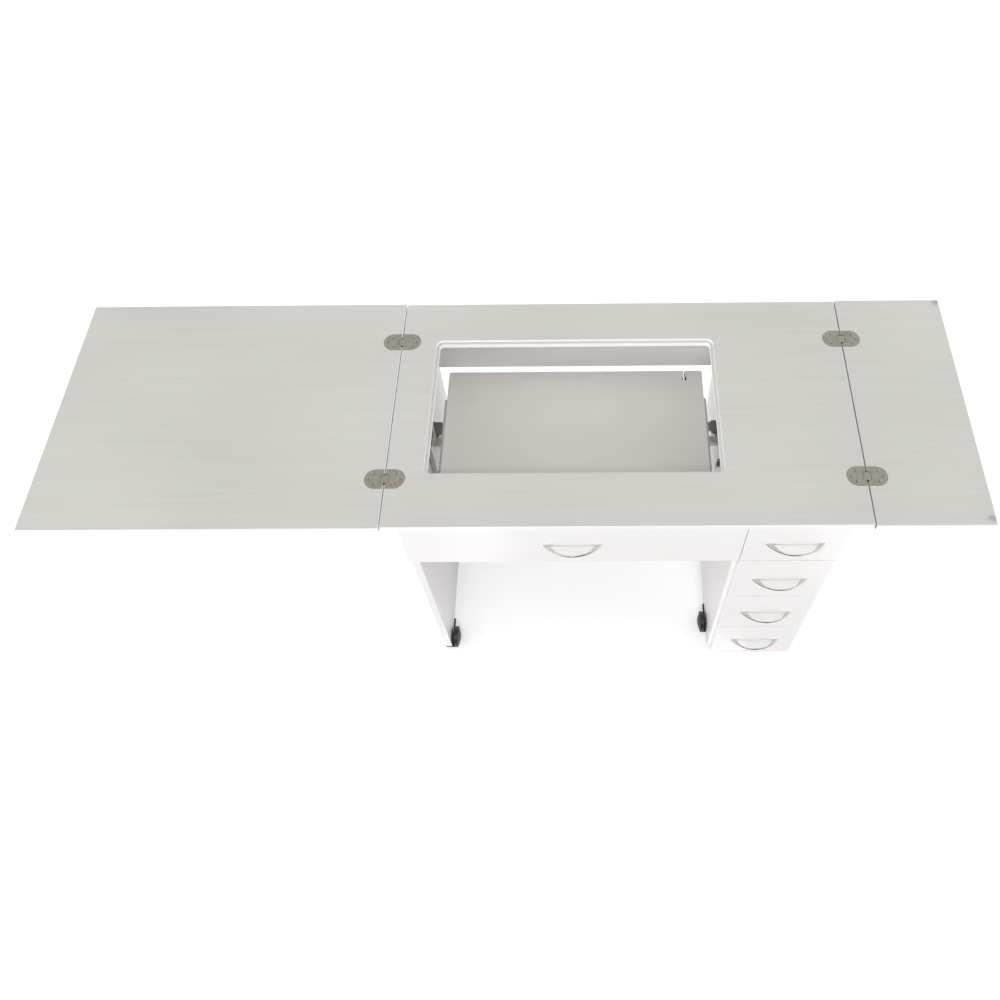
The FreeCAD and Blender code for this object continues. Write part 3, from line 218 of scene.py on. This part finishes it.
def surface(tree, shader, colour, gloss, relief=None):
    """Gives a shader its colour, its roughness as (pattern, least, most) and its relief as
    (height from 0 to 1, depth in metres, strength)."""
    pattern, least, most = gloss
    rough = add(tree, "ShaderNodeMapRange", {
        "Value": pattern, "From Min": SPOTS_LOW, "From Max": SPOTS_HIGH,
        "To Min": least, "To Max": most})
    given = {"Base Color": colour, "Roughness": rough.outputs["Result"]}
    if relief:
        height, depth, strength = relief
        bump = add(tree, "ShaderNodeBump", {
            "Height": height, "Distance": depth, "Strength": strength})
        given["Normal"] = bump.outputs[0]
    for name, output in given.items():
        tree.links.new(output, shader.inputs[name])


# ---- materials --------------------------------------------------------------------------
def ash_laminate():
    """Melamine-faced particle board, embossed with a fine straight ash grain: matt, with hair-thin
    streaks along the table; its up and down faces are painted light grey as painted shade on a
    white board, and its edges have smooth white PVC edge band, except the right leaf's edge at its
    joint, which is painted grey as painted shade in the gap."""
    made, tree, shader = start_material("ash_grain_melamine_laminate", {"IOR": 1.5})
    pores = spots(tree, (220 * MM, 3.8 * MM, 3.8 * MM))   # real pores 1 mm, drawn coarser
    figure = spots(tree, (1400 * MM, 35 * MM, 35 * MM))
    patches = spots(tree, (500 * MM, 350 * MM, 350 * MM), 1.0)
    grain = add(tree, "ShaderNodeMix", {"Factor": 0.2, MIX_FIRST: pores, MIX_SECOND: figure},
                data_type="RGBA").outputs[MIX_RESULT]
    # painted shade: this grey on the up and down faces stands for the dimmer light on the white
    # tops; the streaks in it are the real grain
    face = add(tree, "ShaderNodeValToRGB", {"Fac": grain},
               stops=((0.32, "#CCCAC5"), (0.5, "#CECDC8"), (0.68, "#D1D0CB"))).outputs[0]
    worn = add(tree, "ShaderNodeValToRGB", {"Fac": patches},
               stops=((0.3, "#F6F6F6"), (0.7, "#FFFFFF"))).outputs[0]
    grain_in_painted_shade = add(tree, "ShaderNodeMix", {"Factor": 1.0, MIX_FIRST: face, MIX_SECOND: worn},
                 data_type="RGBA", blend_type="MULTIPLY").outputs[MIX_RESULT]
    # painted shade: the right leaf's edge at the seam is grey to darken the narrow gap; all other
    # edge band is white
    band = add(tree, "ShaderNodeMix", {
        "Factor": seam_edge(tree), MIX_FIRST: linear("#F7F6F6"), MIX_SECOND: linear("#BDBAB6")},
        data_type="RGBA").outputs[MIX_RESULT]
    # faces that look up or down get the painted-shade grey and the pores
    level = level_face(tree)
    colour = add(tree, "ShaderNodeMix", {"Factor": level, MIX_FIRST: band, MIX_SECOND: grain_in_painted_shade},
                 data_type="RGBA").outputs[MIX_RESULT]
    height = add(tree, "ShaderNodeMath", {0: pores, 1: level}, operation="MULTIPLY").outputs[0]
    surface(tree, shader, colour, (grain, 0.40, 0.52), (height, 0.12 * MM, 0.6))
    return made


def white_melamine():
    """White melamine-faced particle board: satin, with the faint orange peel of a pressed face."""
    made, tree, shader = start_material("white_melamine_board", {"IOR": 1.5})
    peel = spots(tree, 2.2 * MM)        # real peel 1 mm, drawn coarser
    patches = spots(tree, 240 * MM)
    colour = add(tree, "ShaderNodeValToRGB", {"Fac": patches},
                 stops=((0.3, "#F4F2F1"), (0.7, "#F6F4F4"))).outputs[0]
    surface(tree, shader, colour, (peel, 0.34, 0.42), (peel, 0.05 * MM, 0.35))
    return made


def drawer_hardboard():
    """Painted hardboard: white and smooth above, with the press screen's mesh underneath."""
    made, tree, shader = start_material("white_painted_hardboard", {"IOR": 1.5})
    screen = scaled_place(tree, 3.0 * MM)           # screen pitch 2 mm, drawn coarser
    weave = add(tree, "ShaderNodeTexVoronoi", {"Vector": screen, "Scale": 1.0, "Randomness": 0.15})
    clouds = spots(tree, 60 * MM, 3.0)
    colour = add(tree, "ShaderNodeValToRGB", {"Fac": clouds},
                 stops=((0.3, "#EEEDE9"), (0.7, "#F3F2EF"))).outputs[0]
    surface(tree, shader, colour, (clouds, 0.45, 0.58), (weave.outputs["Distance"], 0.06 * MM, 0.4))
    return made


def platform_laminate():
    """Light grey melamine-faced board: matt, with a barely clouded face and the same edge band."""
    made, tree, shader = start_material("grey_melamine_board", {"IOR": 1.5})
    clouds = spots(tree, 110 * MM, 3.0, 0.55)
    peel = spots(tree, 2.4 * MM)        # real peel 1 mm, drawn coarser
    colour = add(tree, "ShaderNodeValToRGB", {"Fac": clouds},
                 stops=((0.3, "#DBD8D3"), (0.5, "#D9D6D1"), (0.7, "#D7D5D0"))).outputs[0]
    surface(tree, shader, colour, (peel, 0.44, 0.54), (peel, 0.05 * MM, 0.4))
    return made


def satin_nickel():
    """Satin nickel plate on zinc castings: warm grey metal, soft brushed streaks along the bow."""
    made, tree, shader = start_material("satin_nickel_plate", {"Metallic": 1.0})
    brush = spots(tree, (14 * MM, 0.9 * MM, 0.9 * MM), 3.0, 0.6)  # grit 0.1 mm, drawn coarser
    colour = add(tree, "ShaderNodeValToRGB", {"Fac": brush},
                 stops=((0.3, "#C2B9B4"), (0.7, "#D0C7C3"))).outputs[0]
    surface(tree, shader, colour, (brush, 0.18, 0.28), (brush, 0.01 * MM, 0.5))
    return made


def hinge_nickel():
    """Nickel-plated pressed steel, tumbled to a dull warm grey with no direction in it."""
    made, tree, shader = start_material("dull_nickel_plated_steel", {"Metallic": 1.0})
    grit = spots(tree, 0.8 * MM, 3.0, 0.6)          # grit 0.2 mm, drawn coarser
    clouds = spots(tree, 9 * MM)
    share = add(tree, "ShaderNodeMix", {"Factor": 0.5, MIX_FIRST: grit, MIX_SECOND: clouds},
                data_type="RGBA").outputs[MIX_RESULT]
    colour = add(tree, "ShaderNodeValToRGB", {"Fac": share},
                 stops=((0.35, "#8A857C"), (0.65, "#969188"))).outputs[0]
    surface(tree, shader, colour, (clouds, 0.34, 0.46), (grit, 0.02 * MM, 0.5))
    return made


def bright_zinc():
    """Blue-passivated zinc plate on pressed steel: pale cool grey with a faint clouded bloom."""
    made, tree, shader = start_material("bright_zinc_plated_steel", {"Metallic": 1.0})
    bloom = spots(tree, 7 * MM, 3.0, 0.6)
    colour = add(tree, "ShaderNodeValToRGB", {"Fac": bloom},
                 stops=((0.3, "#A9ACAE"), (0.5, "#B4B6B7"), (0.7, "#B9B7B0"))).outputs[0]
    surface(tree, shader, colour, (bloom, 0.26, 0.38), (bloom, 0.02 * MM, 0.4))
    return made


def lift_coat():
    """Satin grey powder coat on steel: warm mid grey with the coat's fine pebbled skin."""
    made, tree, shader = start_material("satin_grey_powder_coat", {"IOR": 1.5})
    pebble = spots(tree, 1.2 * MM, 2.0, 0.6)
    clouds = spots(tree, 30 * MM)
    colour = add(tree, "ShaderNodeValToRGB", {"Fac": clouds},
                 stops=((0.3, "#A9A69E"), (0.7, "#B3B0A8"))).outputs[0]
    surface(tree, shader, colour, (pebble, 0.38, 0.5), (pebble, 0.05 * MM, 0.5))
    return made


def phosphated_steel():
    """Phosphated steel, spring wire and thin sheet alike: a dull dark grey, faintly mottled."""
    made, tree, shader = start_material("dark_phosphated_steel", {"Metallic": 0.3})
    mottle = spots(tree, 4 * MM, 3.0, 0.6)
    skin = spots(tree, 0.6 * MM)        # skin 0.2 mm, drawn coarser
    colour = add(tree, "ShaderNodeValToRGB", {"Fac": mottle},
                 stops=((0.3, "#7B7973"), (0.7, "#87857F"))).outputs[0]
    surface(tree, shader, colour, (skin, 0.48, 0.62), (skin, 0.01 * MM, 0.5))
    return made


def black_nylon():
    """Moulded black nylon: satin, with a fine spark-eroded skin and dulled high spots."""
    made, tree, shader = start_material("moulded_black_nylon", {"IOR": 1.53})
    skin = spots(tree, 0.9 * MM)
    scuffs = spots(tree, 5 * MM, 3.0, 0.6)
    colour = add(tree, "ShaderNodeValToRGB", {"Fac": scuffs},
                 stops=((0.35, "#121315"), (0.7, "#1C1D1F"))).outputs[0]
    surface(tree, shader, colour, (skin, 0.38, 0.52), (skin, 0.03 * MM, 0.5))
    return made


def white_nylon():
    """Moulded white nylon: milky, a little glossy, slightly clouded."""
    made, tree, shader = start_material("moulded_white_nylon", {"IOR": 1.53})
    clouds = spots(tree, 6 * MM)
    colour = add(tree, "ShaderNodeValToRGB", {"Fac": clouds},
                 stops=((0.3, "#F1F1EC"), (0.7, "#F8F8F4"))).outputs[0]
    surface(tree, shader, colour, (clouds, 0.28, 0.36), (clouds, 0.03 * MM, 0.3))
    return made


def clear_bumper():
    """Clear soft polyurethane: a glassy dot that shows the top through it, a little darker; its
    grey base is the tops' painted shade.
    """
    made, tree, shader = start_material("clear_polyurethane_pad",
                                        {"IOR": 1.49, "Transmission Weight": 0.35})
    haze = spots(tree, 3 * MM)
    # painted shade: the same grey as the tops' painted shade
    colour = add(tree, "ShaderNodeValToRGB", {"Fac": haze},
                 stops=((0.3, "#CECCC8"), (0.7, "#D6D4D0"))).outputs[0]
    surface(tree, shader, colour, (haze, 0.16, 0.26))
    return made


def finish_nodes(nodes):
    """Gives every CAD node the material of what it is made from; returns them by slot."""
    made = {
        "top_laminate": (ash_laminate(), ["centre_top", "left_leaf", "right_leaf"]),
        "white_board": (white_melamine(), [
            "left_leg_panel", "pedestal_left_panel", "pedestal_right_panel", "pedestal_back_panel",
            "pedestal_bottom_panel", "rear_rail", "front_rail", "front_flap", "drawer_cleats",
            "support_bar_left_front", "support_bar_left_rear", "support_bar_right",
            *["drawer_front_%d" % n for n in DRAWERS], *["drawer_shell_%d" % n for n in DRAWERS]]),
        "white_hardboard": (drawer_hardboard(), ["drawer_bottom_%d" % n for n in DRAWERS]),
        "platform_board": (platform_laminate(), ["lift_platform"]),
        "satin_nickel": (satin_nickel(), [
            "flap_handle", *["drawer_handle_%d" % n for n in DRAWERS]]),
        "hinge_steel": (hinge_nickel(), [
            "%s_%s" % (part, side) for part in ("hinge_plates", "hinge_screws")
            for side in ("top", "left", "right")] + [
            "%s_%s" % (part, side) for part in ("hinge_links", "hinge_pins")
            for side in ("left", "right")]),
        "zinc_steel": (bright_zinc(), ["flap_hinge_leaves", "flap_hinge_arms"]),
        "lift_steel": (lift_coat(), [
            "lift_side_plates", "lift_upper_arms", "lift_lower_arms", "platform_rails"]),
        "spring_steel": (phosphated_steel(), ["lift_springs"]),
        "black_nylon": (black_nylon(), [
            "caster_brackets", *["caster_wheel_%d" % n for n in CASTERS]]),
        "white_nylon": (white_nylon(), ["lift_latch", "support_guides"]),
        "clear_pad": (clear_bumper(), ["leaf_bumpers"]),
    }
    for material, names in made.values():
        for name in names:
            slots = nodes[name].data.materials
            slots.clear()
            slots.append(material)
    return {slot: material for slot, (material, _) in made.items()}


# ---- geometry nodes ---------------------------------------------------------------------
def start_tree(name, sizes):
    """A geometry node tree with an input for each (name, kind, value) size."""
    tree = bpy.data.node_groups.new(name, "GeometryNodeTree")
    sockets = tree.interface
    sockets.new_socket("Geometry", in_out="INPUT", socket_type="NodeSocketGeometry")
    sockets.new_socket("Geometry", in_out="OUTPUT", socket_type="NodeSocketGeometry")
    for label, kind, value in sizes:
        socket = sockets.new_socket(label, in_out="INPUT", socket_type="NodeSocket" + kind)
        socket.default_value = value
    sockets.new_socket("Material", in_out="INPUT", socket_type="NodeSocketMaterial")
    return tree, add(tree, "NodeGroupInput").outputs


def close_tree(tree, shape, material):
    """Real mesh with its material, as the export needs."""
    real = add(tree, "GeometryNodeRealizeInstances", {"Geometry": shape}).outputs[0]
    inputs = {"Geometry": real, "Material": material}
    shown = add(tree, "GeometryNodeSetMaterial", inputs).outputs[0]
    add(tree, "NodeGroupOutput", {"Geometry": shown})


def domed_head(tree, radius, height):
    """A round head raised in steps from a flat disc, closed below."""
    disc = add(tree, "GeometryNodeMeshCircle", {"Vertices": HEAD_SIDES, "Radius": radius},
               fill_type="NGON").outputs[0]
    shape, top, width = disc, True, 1.0
    for rise, share in DOME:
        raised = add(tree, "ShaderNodeMath", {0: height, 1: rise}, operation="MULTIPLY").outputs[0]
        step = add(tree, "GeometryNodeExtrudeMesh", {
            "Mesh": shape, "Selection": top, "Offset": (0.0, 0.0, 1.0),
            "Offset Scale": raised, "Individual": False})
        shape, top = step.outputs["Mesh"], step.outputs["Top"]
        if share < width:
            shape = add(tree, "GeometryNodeScaleElements", {
                "Geometry": shape, "Selection": top, "Scale": share / width}).outputs[0]
        width = share
    both = add(tree, "GeometryNodeJoinGeometry")
    for part in (shape, disc):
        tree.links.new(part, both.inputs[0])
    inputs = {"Geometry": both.outputs[0], "Distance": HEAD_MERGE}
    return add(tree, "GeometryNodeMergeByDistance", inputs).outputs[0]


def cross_recess(tree, radius, height):
    """Two crossed bars that reach halfway down the head."""
    long, thin = [add(tree, "ShaderNodeMath", {0: radius, 1: share},
                      operation="MULTIPLY").outputs[0] for share in (RECESS_SHARE, RECESS_WIDTH)]
    at = add(tree, "ShaderNodeCombineXYZ", {"Z": height}).outputs[0]
    bars = []
    for x, y in ((long, thin), (thin, long)):
        size = add(tree, "ShaderNodeCombineXYZ", {"X": x, "Y": y, "Z": height}).outputs[0]
        bar = add(tree, "GeometryNodeMeshCube", {"Size": size}).outputs[0]
        inputs = {"Geometry": bar, "Translation": at}
        bars.append(add(tree, "GeometryNodeTransform", inputs).outputs[0])
    return bars


def screw_tree():
    """A pan head on every point, along the point's facing and turned by chance about it."""
    tree, given = start_tree("pan_head_screws", (
        ("Head Radius", "Float", BRACKET_SCREW.radius),
        ("Head Height", "Float", BRACKET_SCREW.height), ("Seed", "Int", SEED)))
    radius, height = given["Head Radius"], given["Head Height"]
    cut = add(tree, "GeometryNodeMeshBoolean", {"Mesh 1": domed_head(tree, radius, height)},
              operation="DIFFERENCE")
    for bar in cross_recess(tree, radius, height):
        tree.links.new(bar, cut.inputs["Mesh 2"])
    points = add(tree, "GeometryNodeMeshToPoints", {"Mesh": given["Geometry"]}).outputs[0]
    facing = add(tree, "GeometryNodeInputNamedAttribute", {"Name": "facing"},
                 data_type="FLOAT_VECTOR").outputs["Attribute"]
    stand = add(tree, "FunctionNodeAlignRotationToVector", {"Vector": facing}, axis="Z").outputs[0]
    chance = {"Seed": given["Seed"], "Min": (0.0, 0.0, 0.0), "Max": (0.0, 0.0, math.pi / 2)}
    turn = add(tree, "FunctionNodeRandomValue", chance, data_type="FLOAT_VECTOR").outputs[0]
    turned = add(tree, "FunctionNodeRotateRotation", {"Rotation": stand, "Rotate By": turn},
                 rotation_space="LOCAL").outputs[0]
    placed = add(tree, "GeometryNodeInstanceOnPoints", {
        "Points": points, "Instance": cut.outputs[0], "Rotation": turned}).outputs[0]
    close_tree(tree, placed, given["Material"])
    return tree


def face_outward(mesh):
    """Merges a mesh's doubles and turns its faces outwards."""
    shape = bmesh.new()
    shape.from_mesh(mesh)
    bmesh.ops.remove_doubles(shape, verts=shape.verts, dist=WELD)
    bmesh.ops.recalc_face_normals(shape, faces=shape.faces)
    shape.to_mesh(mesh)
    shape.free()


def grown(name, mesh, tree, values):
    """Runs a tree on a mesh with its named inputs set; returns one plain, outward piece."""
    seedling = bpy.data.objects.new(name, mesh)
    bpy.context.scene.collection.objects.link(seedling)
    modifier = seedling.modifiers.new("grow", "NODES")
    modifier.node_group = tree
    for item in tree.interface.items_tree:
        if item.in_out == "INPUT" and item.name in values:
            modifier[item.identifier] = values[item.name]
    bpy.context.view_layer.update()
    result = bpy.data.meshes.new_from_object(
        seedling.evaluated_get(bpy.context.evaluated_depsgraph_get()))
    seedling.modifiers.clear()
    seedling.data = result
    face_outward(result)
    return seedling


def screws(name, body, tree, places, kind, material, slot):
    """One piece of screw heads at (point, facing) places."""
    mesh = bpy.data.meshes.new(name)
    mesh.from_pydata([point for point, _ in places], [], [])
    facing = mesh.attributes.new("facing", "FLOAT_VECTOR", "POINT")
    facing.data.foreach_set("vector", [c for _, way in places for c in way])
    values = {"Head Radius": kind.radius, "Head Height": kind.height, "Material": material}
    piece = grown(name, mesh, tree, values)
    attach(piece, body)


# ---- where the screws are ---------------------------------------------------------------
def middle(low, high):
    """Halfway between two places on an axis."""
    return (low + high) / 2


def handle_places(front, handle):
    """Two screws through a front into the ends of its handle, heads inside."""
    low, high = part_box(handle)
    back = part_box(front)[1].y
    z = middle(low.z, high.z)
    return [((x, back, z), (0, 1, 0)) for x in (low.x + HANDLE_SCREW_IN, high.x - HANDLE_SCREW_IN)]


def cleat_places():
    """Three screws through each cleat into its pedestal panel."""
    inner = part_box("pedestal_left_panel")[1].x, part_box("pedestal_right_panel")[0].x
    low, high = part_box("drawer_cleats")
    reach = low.x - inner[0] + CLEAT_REACH
    places = []
    for n in DRAWERS:
        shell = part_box("drawer_shell_%d" % n)
        z = middle(shell[0].z, shell[1].z)
        for share in CLEAT_SHARES:
            y = low.y + share * (high.y - low.y)
            places.append(((inner[0] + reach, y, z), (1, 0, 0)))
            places.append(((inner[1] - reach, y, z), (-1, 0, 0)))
    return places


def side_plate_places():
    """Screws through the lift's side plates into the leg and the pedestal, from the plates'
    back lower corner: distance forward and distance up."""
    low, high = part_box("lift_side_plates")
    left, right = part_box("left_leg_panel")[1].x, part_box("pedestal_left_panel")[0].x
    places = []
    for ahead, up in PLATE_SCREWS:
        for x, way in ((left + SIDE_PLATE_T, 1), (right - SIDE_PLATE_T, -1)):
            places.append(((x, high.y - ahead, low.z + up), (way, 0, 0)))
    return places


def rivet_place():
    """One rivet on the front of the right spring guard."""
    low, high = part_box("lift_side_plates")
    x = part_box("pedestal_left_panel")[0].x - RIVET_OUT
    return [((x, high.y - GUARD_FRONT, low.z + RIVET_UP), (0, -1, 0))]


def guide_places():
    """Two screws up through each support guide's ears, heads below."""
    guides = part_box("support_guides")
    left, right = guides[0].x + GUIDE_HALF, guides[1].x - GUIDE_HALF
    places = []
    for bar, x in (("left_front", left), ("left_rear", left), ("right", right)):
        low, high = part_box("support_bar_" + bar)
        for y in (low.y - GUIDE_EAR, high.y + GUIDE_EAR):
            places.append(((x, y, guides[1].z - GUIDE_T), (0, 0, -1)))
    return places


def flap_hinge_places(node, y):
    """Two screws up through each leaf of the flap's hinges, heads below."""
    low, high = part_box(node)
    z = high.z - FLAP_LEAF_T
    xs = []
    for end, way in ((low.x, 1), (high.x, -1)):
        xs += [end + way * FLAP_SCREW_IN, end + way * (FLAP_HINGE_L - FLAP_SCREW_IN)]
    return [((x, y, z), (0, 0, -1)) for x in xs]


def shelf_places():
    """Three screws up through each platform rail's shelf into the platform."""
    low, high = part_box("platform_rails")
    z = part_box("lift_platform")[0].z - SHELF_UNDER
    places = []
    for x in (low.x + SHELF_SCREW_IN, high.x - SHELF_SCREW_IN):
        for share in SHELF_SHARES:
            places.append(((x, low.y + share * (high.y - low.y), z), (0, 0, -1)))
    return places


def bracket_places():
    """Two screws up through each caster's foot into the panel above it, heads below."""
    places = []
    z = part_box("caster_brackets")[0].z
    for n, (panel, foot_way) in enumerate(CASTER_PANELS, 1):
        low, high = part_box("caster_wheel_%d" % n)
        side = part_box(panel)
        y = middle(low.y, high.y)
        for away in BRACKET_SCREWS:
            places.append(((middle(side[0].x, side[1].x), y + foot_way * away, z), (0, 0, -1)))
    return places


def screw_pieces(materials):
    """Every group of small screws, one piece for each body and size."""
    tree = screw_tree()
    zinc = materials["zinc_steel"], "zinc_steel"
    leaf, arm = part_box("flap_hinge_leaves"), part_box("flap_hinge_arms")
    groups = [
        ("cleat_screws", "frame", cleat_places(), SMALL_SCREW),
        ("side_plate_screws", "frame", side_plate_places(), PLATE_SCREW),
        ("guard_rivet", "frame", rivet_place(), GUARD_RIVET),
        ("guide_screws", "frame", guide_places(), BRACKET_SCREW),
        ("caster_bracket_screws", "frame", bracket_places(), BRACKET_SCREW),
        ("flap_hinge_screws_rail", "frame",
         flap_hinge_places("flap_hinge_leaves", leaf[1].y - FLAP_LEAF_HALF), SMALL_SCREW),
        ("flap_hinge_screws_flap", "front_flap",
         flap_hinge_places("flap_hinge_arms", arm[0].y + FLAP_LEAF_HALF), SMALL_SCREW),
        ("platform_screws", "lift_platform", shelf_places(), PLATE_SCREW),
        ("flap_handle_screws", "front_flap", handle_places("front_flap", "flap_handle"),
         HANDLE_SCREW)]
    for n in DRAWERS:
        places = handle_places("drawer_front_%d" % n, "drawer_handle_%d" % n)
        groups.append(("drawer_handle_screws_%d" % n, "drawer_%d" % n, places, HANDLE_SCREW))
    for name, body, places, kind in groups:
        screws(name, body, tree, places, kind, *zinc)


# ---- cable slot -------------------------------------------------------------------------
def slot_line(x, back, inset):
    """The slot's wall from its left mouth round the eye to its right mouth, set in by inset."""
    half, radius = SLOT_HALF - inset, SLOT_EYE_R - inset
    eye = back - SLOT_L
    mouth = math.asin(half / radius)
    line = [(x - half, back)]
    for n in range(DARK_STRIP_SIDES + 1):
        angle = math.pi / 2 + mouth + n / DARK_STRIP_SIDES * 2 * (math.pi - mouth)
        line.append((x + radius * math.cos(angle), eye + radius * math.sin(angle)))
    return line + [(x + half, back)]


def slot_dark_strip(material):
    """Thin black strip on the walls of the platform's cable slot, which makes them dark."""
    low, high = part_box("lift_platform")
    x = high.x - SLOT_IN
    rings = []
    for inset, z in ((0, low.z + DARK_STRIP_SUNK), (0, high.z - DARK_STRIP_SUNK),
                     (DARK_STRIP_T, high.z - DARK_STRIP_SUNK), (DARK_STRIP_T, low.z + DARK_STRIP_SUNK)):
        rings.append([(*point, z) for point in slot_line(x, high.y - DARK_STRIP_SUNK, inset)])
    count = len(rings[0])
    faces = [tuple(ring * count for ring in range(4)),
             tuple(ring * count + count - 1 for ring in reversed(range(4)))]
    for ring in range(4):
        near, far = ring * count, (ring + 1) % 4 * count
        faces += [(near + n, near + n + 1, far + n + 1, far + n) for n in range(count - 1)]
    mesh = bpy.data.meshes.new("cable_slot_dark_strip")
    mesh.from_pydata([point for ring in rings for point in ring], [], faces)
    mesh.materials.append(material)
    face_outward(mesh)
    piece = bpy.data.objects.new("cable_slot_dark_strip", mesh)
    bpy.context.scene.collection.objects.link(piece)
    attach(piece, "lift_platform")


# ---- floor, light and camera ------------------------------------------------------------
def seen_directly(tree):
    """1 for what the lens sees straight, mirrored or through clear plastic, 0 for the light that
    falls on matt faces."""
    ray = add(tree, "ShaderNodeLightPath").outputs
    first = add(tree, "ShaderNodeMath", {0: ray["Is Camera Ray"], 1: ray["Is Glossy Ray"]},
                operation="MAXIMUM")
    return add(tree, "ShaderNodeMath", {0: first.outputs[0], 1: ray["Is Transmission Ray"]},
               operation="MAXIMUM").outputs[0]


def sheet(name, corners, material):
    """A flat four-cornered sheet of the studio."""
    mesh = bpy.data.meshes.new(name)
    mesh.from_pydata(corners, [], [(0, 1, 2, 3)])
    mesh.materials.append(material)
    made = bpy.data.objects.new(name, mesh)
    bpy.context.scene.collection.objects.link(made)
    return made


def studio_floor():
    """Matt pale floor that shows as white paper and keeps the table's soft shadow."""
    made, tree = empty_material("pale_studio_paper")
    lit = add(tree, "ShaderNodeBsdfDiffuse", {"Color": (FLOOR_MATT,) * 3 + (1,)}).outputs[0]
    shade = add(tree, "ShaderNodeBsdfDiffuse", {"Color": (FLOOR_SHOWN,) * 3 + (1,)}).outputs[0]
    glow = add(tree, "ShaderNodeEmission", {"Strength": FLOOR_GLOW}).outputs[0]
    shown = add(tree, "ShaderNodeAddShader", {0: shade, 1: glow}).outputs[0]
    both = add(tree, "ShaderNodeMixShader", {0: seen_directly(tree), 1: lit, 2: shown}).outputs[0]
    add(tree, "ShaderNodeOutputMaterial", {"Surface": both})
    r = FLOOR_REACH
    floor = sheet("studio_floor", [(-r, -r, 0), (r, -r, 0), (r, r, 0), (-r, r, 0)], made)


def black_cards():
    """Black cards under, beside and in front of the table that only metal and gloss can see."""
    made, tree = empty_material("black_studio_felt")
    felt = add(tree, "ShaderNodeBsdfDiffuse", {"Color": (FELT_WHITE,) * 3 + (1,)}).outputs[0]
    add(tree, "ShaderNodeOutputMaterial", {"Surface": felt})
    up = CARD_UP
    shapes = [((x0, y0, up), (x1, y0, up), (x1, y1, up), (x0, y1, up))
              for x0, x1, y0, y1 in LYING_CARDS]
    x0, x1, y, top = STANDING_CARD
    shapes.append(((x0, y, up), (x1, y, up), (x1, y, top), (x0, y, top)))
    for number, corners in enumerate(shapes, 1):
        card = sheet("black_card_%d" % number, corners, made)
        card.visible_camera = card.visible_diffuse = False
        card.visible_transmission = card.visible_shadow = False


def studio_sky():
    """Even light from all round, white where it is seen directly."""
    world = bpy.data.worlds.new("studio")
    bpy.context.scene.world = world
    world.use_nodes = True
    tree = world.node_tree
    tree.nodes.clear()
    strength = add(tree, "ShaderNodeMapRange", {
        "Value": seen_directly(tree), "To Min": SKY_LEVEL, "To Max": 1.0}).outputs["Result"]
    inputs = {"Color": (1, 1, 1, 1), "Strength": strength}
    sky = add(tree, "ShaderNodeBackground", inputs).outputs[0]
    add(tree, "ShaderNodeOutputWorld", {"Surface": sky})


def studio_lamps():
    """Distant soft panels all round, each lighting a surface that faces it to its level."""
    for name, panel in PANELS.items():
        around, up = math.radians(panel.around), math.radians(panel.up)
        out = math.cos(up)
        place = Vector((math.sin(around) * out, -math.cos(around) * out, math.sin(up)))
        light = bpy.data.lights.new(name, "SUN")
        light.energy = panel.level * math.pi
        light.angle = math.radians(panel.width)
        holder = bpy.data.objects.new(name, light)
        holder.visible_glossy = panel.mirrored
        turn = (-place).to_track_quat("-Z", "Y").to_matrix().to_4x4()
        holder.matrix_world = Matrix.Translation(LAMP_AWAY * place) @ turn
        bpy.context.scene.collection.objects.link(holder)


def camera():
    """A lens above and in front of the table, looking down on its tops."""
    lens = bpy.data.cameras.new("camera")
    lens.sensor_width = SENSOR_MM
    lens.lens = FOCAL_PX * SENSOR_MM / FRAME_PX
    lens.shift_x = 0.5 - CENTRE_PX[0] / FRAME_PX
    lens.shift_y = CENTRE_PX[1] / FRAME_PX - 0.5
    holder = bpy.data.objects.new("camera", lens)
    turn = Matrix.Rotation(math.radians(CAMERA_LEFT), 4, "Z")
    tilt = Matrix.Rotation(math.radians(90 - CAMERA_DOWN), 4, "X")
    roll = Matrix.Rotation(math.radians(-CAMERA_ROLL), 4, "Z")
    holder.matrix_world = Matrix.Translation(CAMERA_AT) @ turn @ tilt @ roll
    bpy.context.scene.collection.objects.link(holder)
    bpy.context.scene.camera = holder


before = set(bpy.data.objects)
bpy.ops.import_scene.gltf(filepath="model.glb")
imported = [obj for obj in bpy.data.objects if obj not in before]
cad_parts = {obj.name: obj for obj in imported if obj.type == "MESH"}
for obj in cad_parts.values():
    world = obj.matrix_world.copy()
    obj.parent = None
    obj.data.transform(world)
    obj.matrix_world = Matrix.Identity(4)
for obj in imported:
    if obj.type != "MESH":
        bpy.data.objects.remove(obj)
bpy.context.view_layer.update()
bpy.context.scene.view_settings.view_transform = "Standard"
camera()
studio_floor()
black_cards()
studio_sky()
studio_lamps()
materials = finish_nodes(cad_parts)
screw_pieces(materials)
slot_dark_strip(materials["black_nylon"])
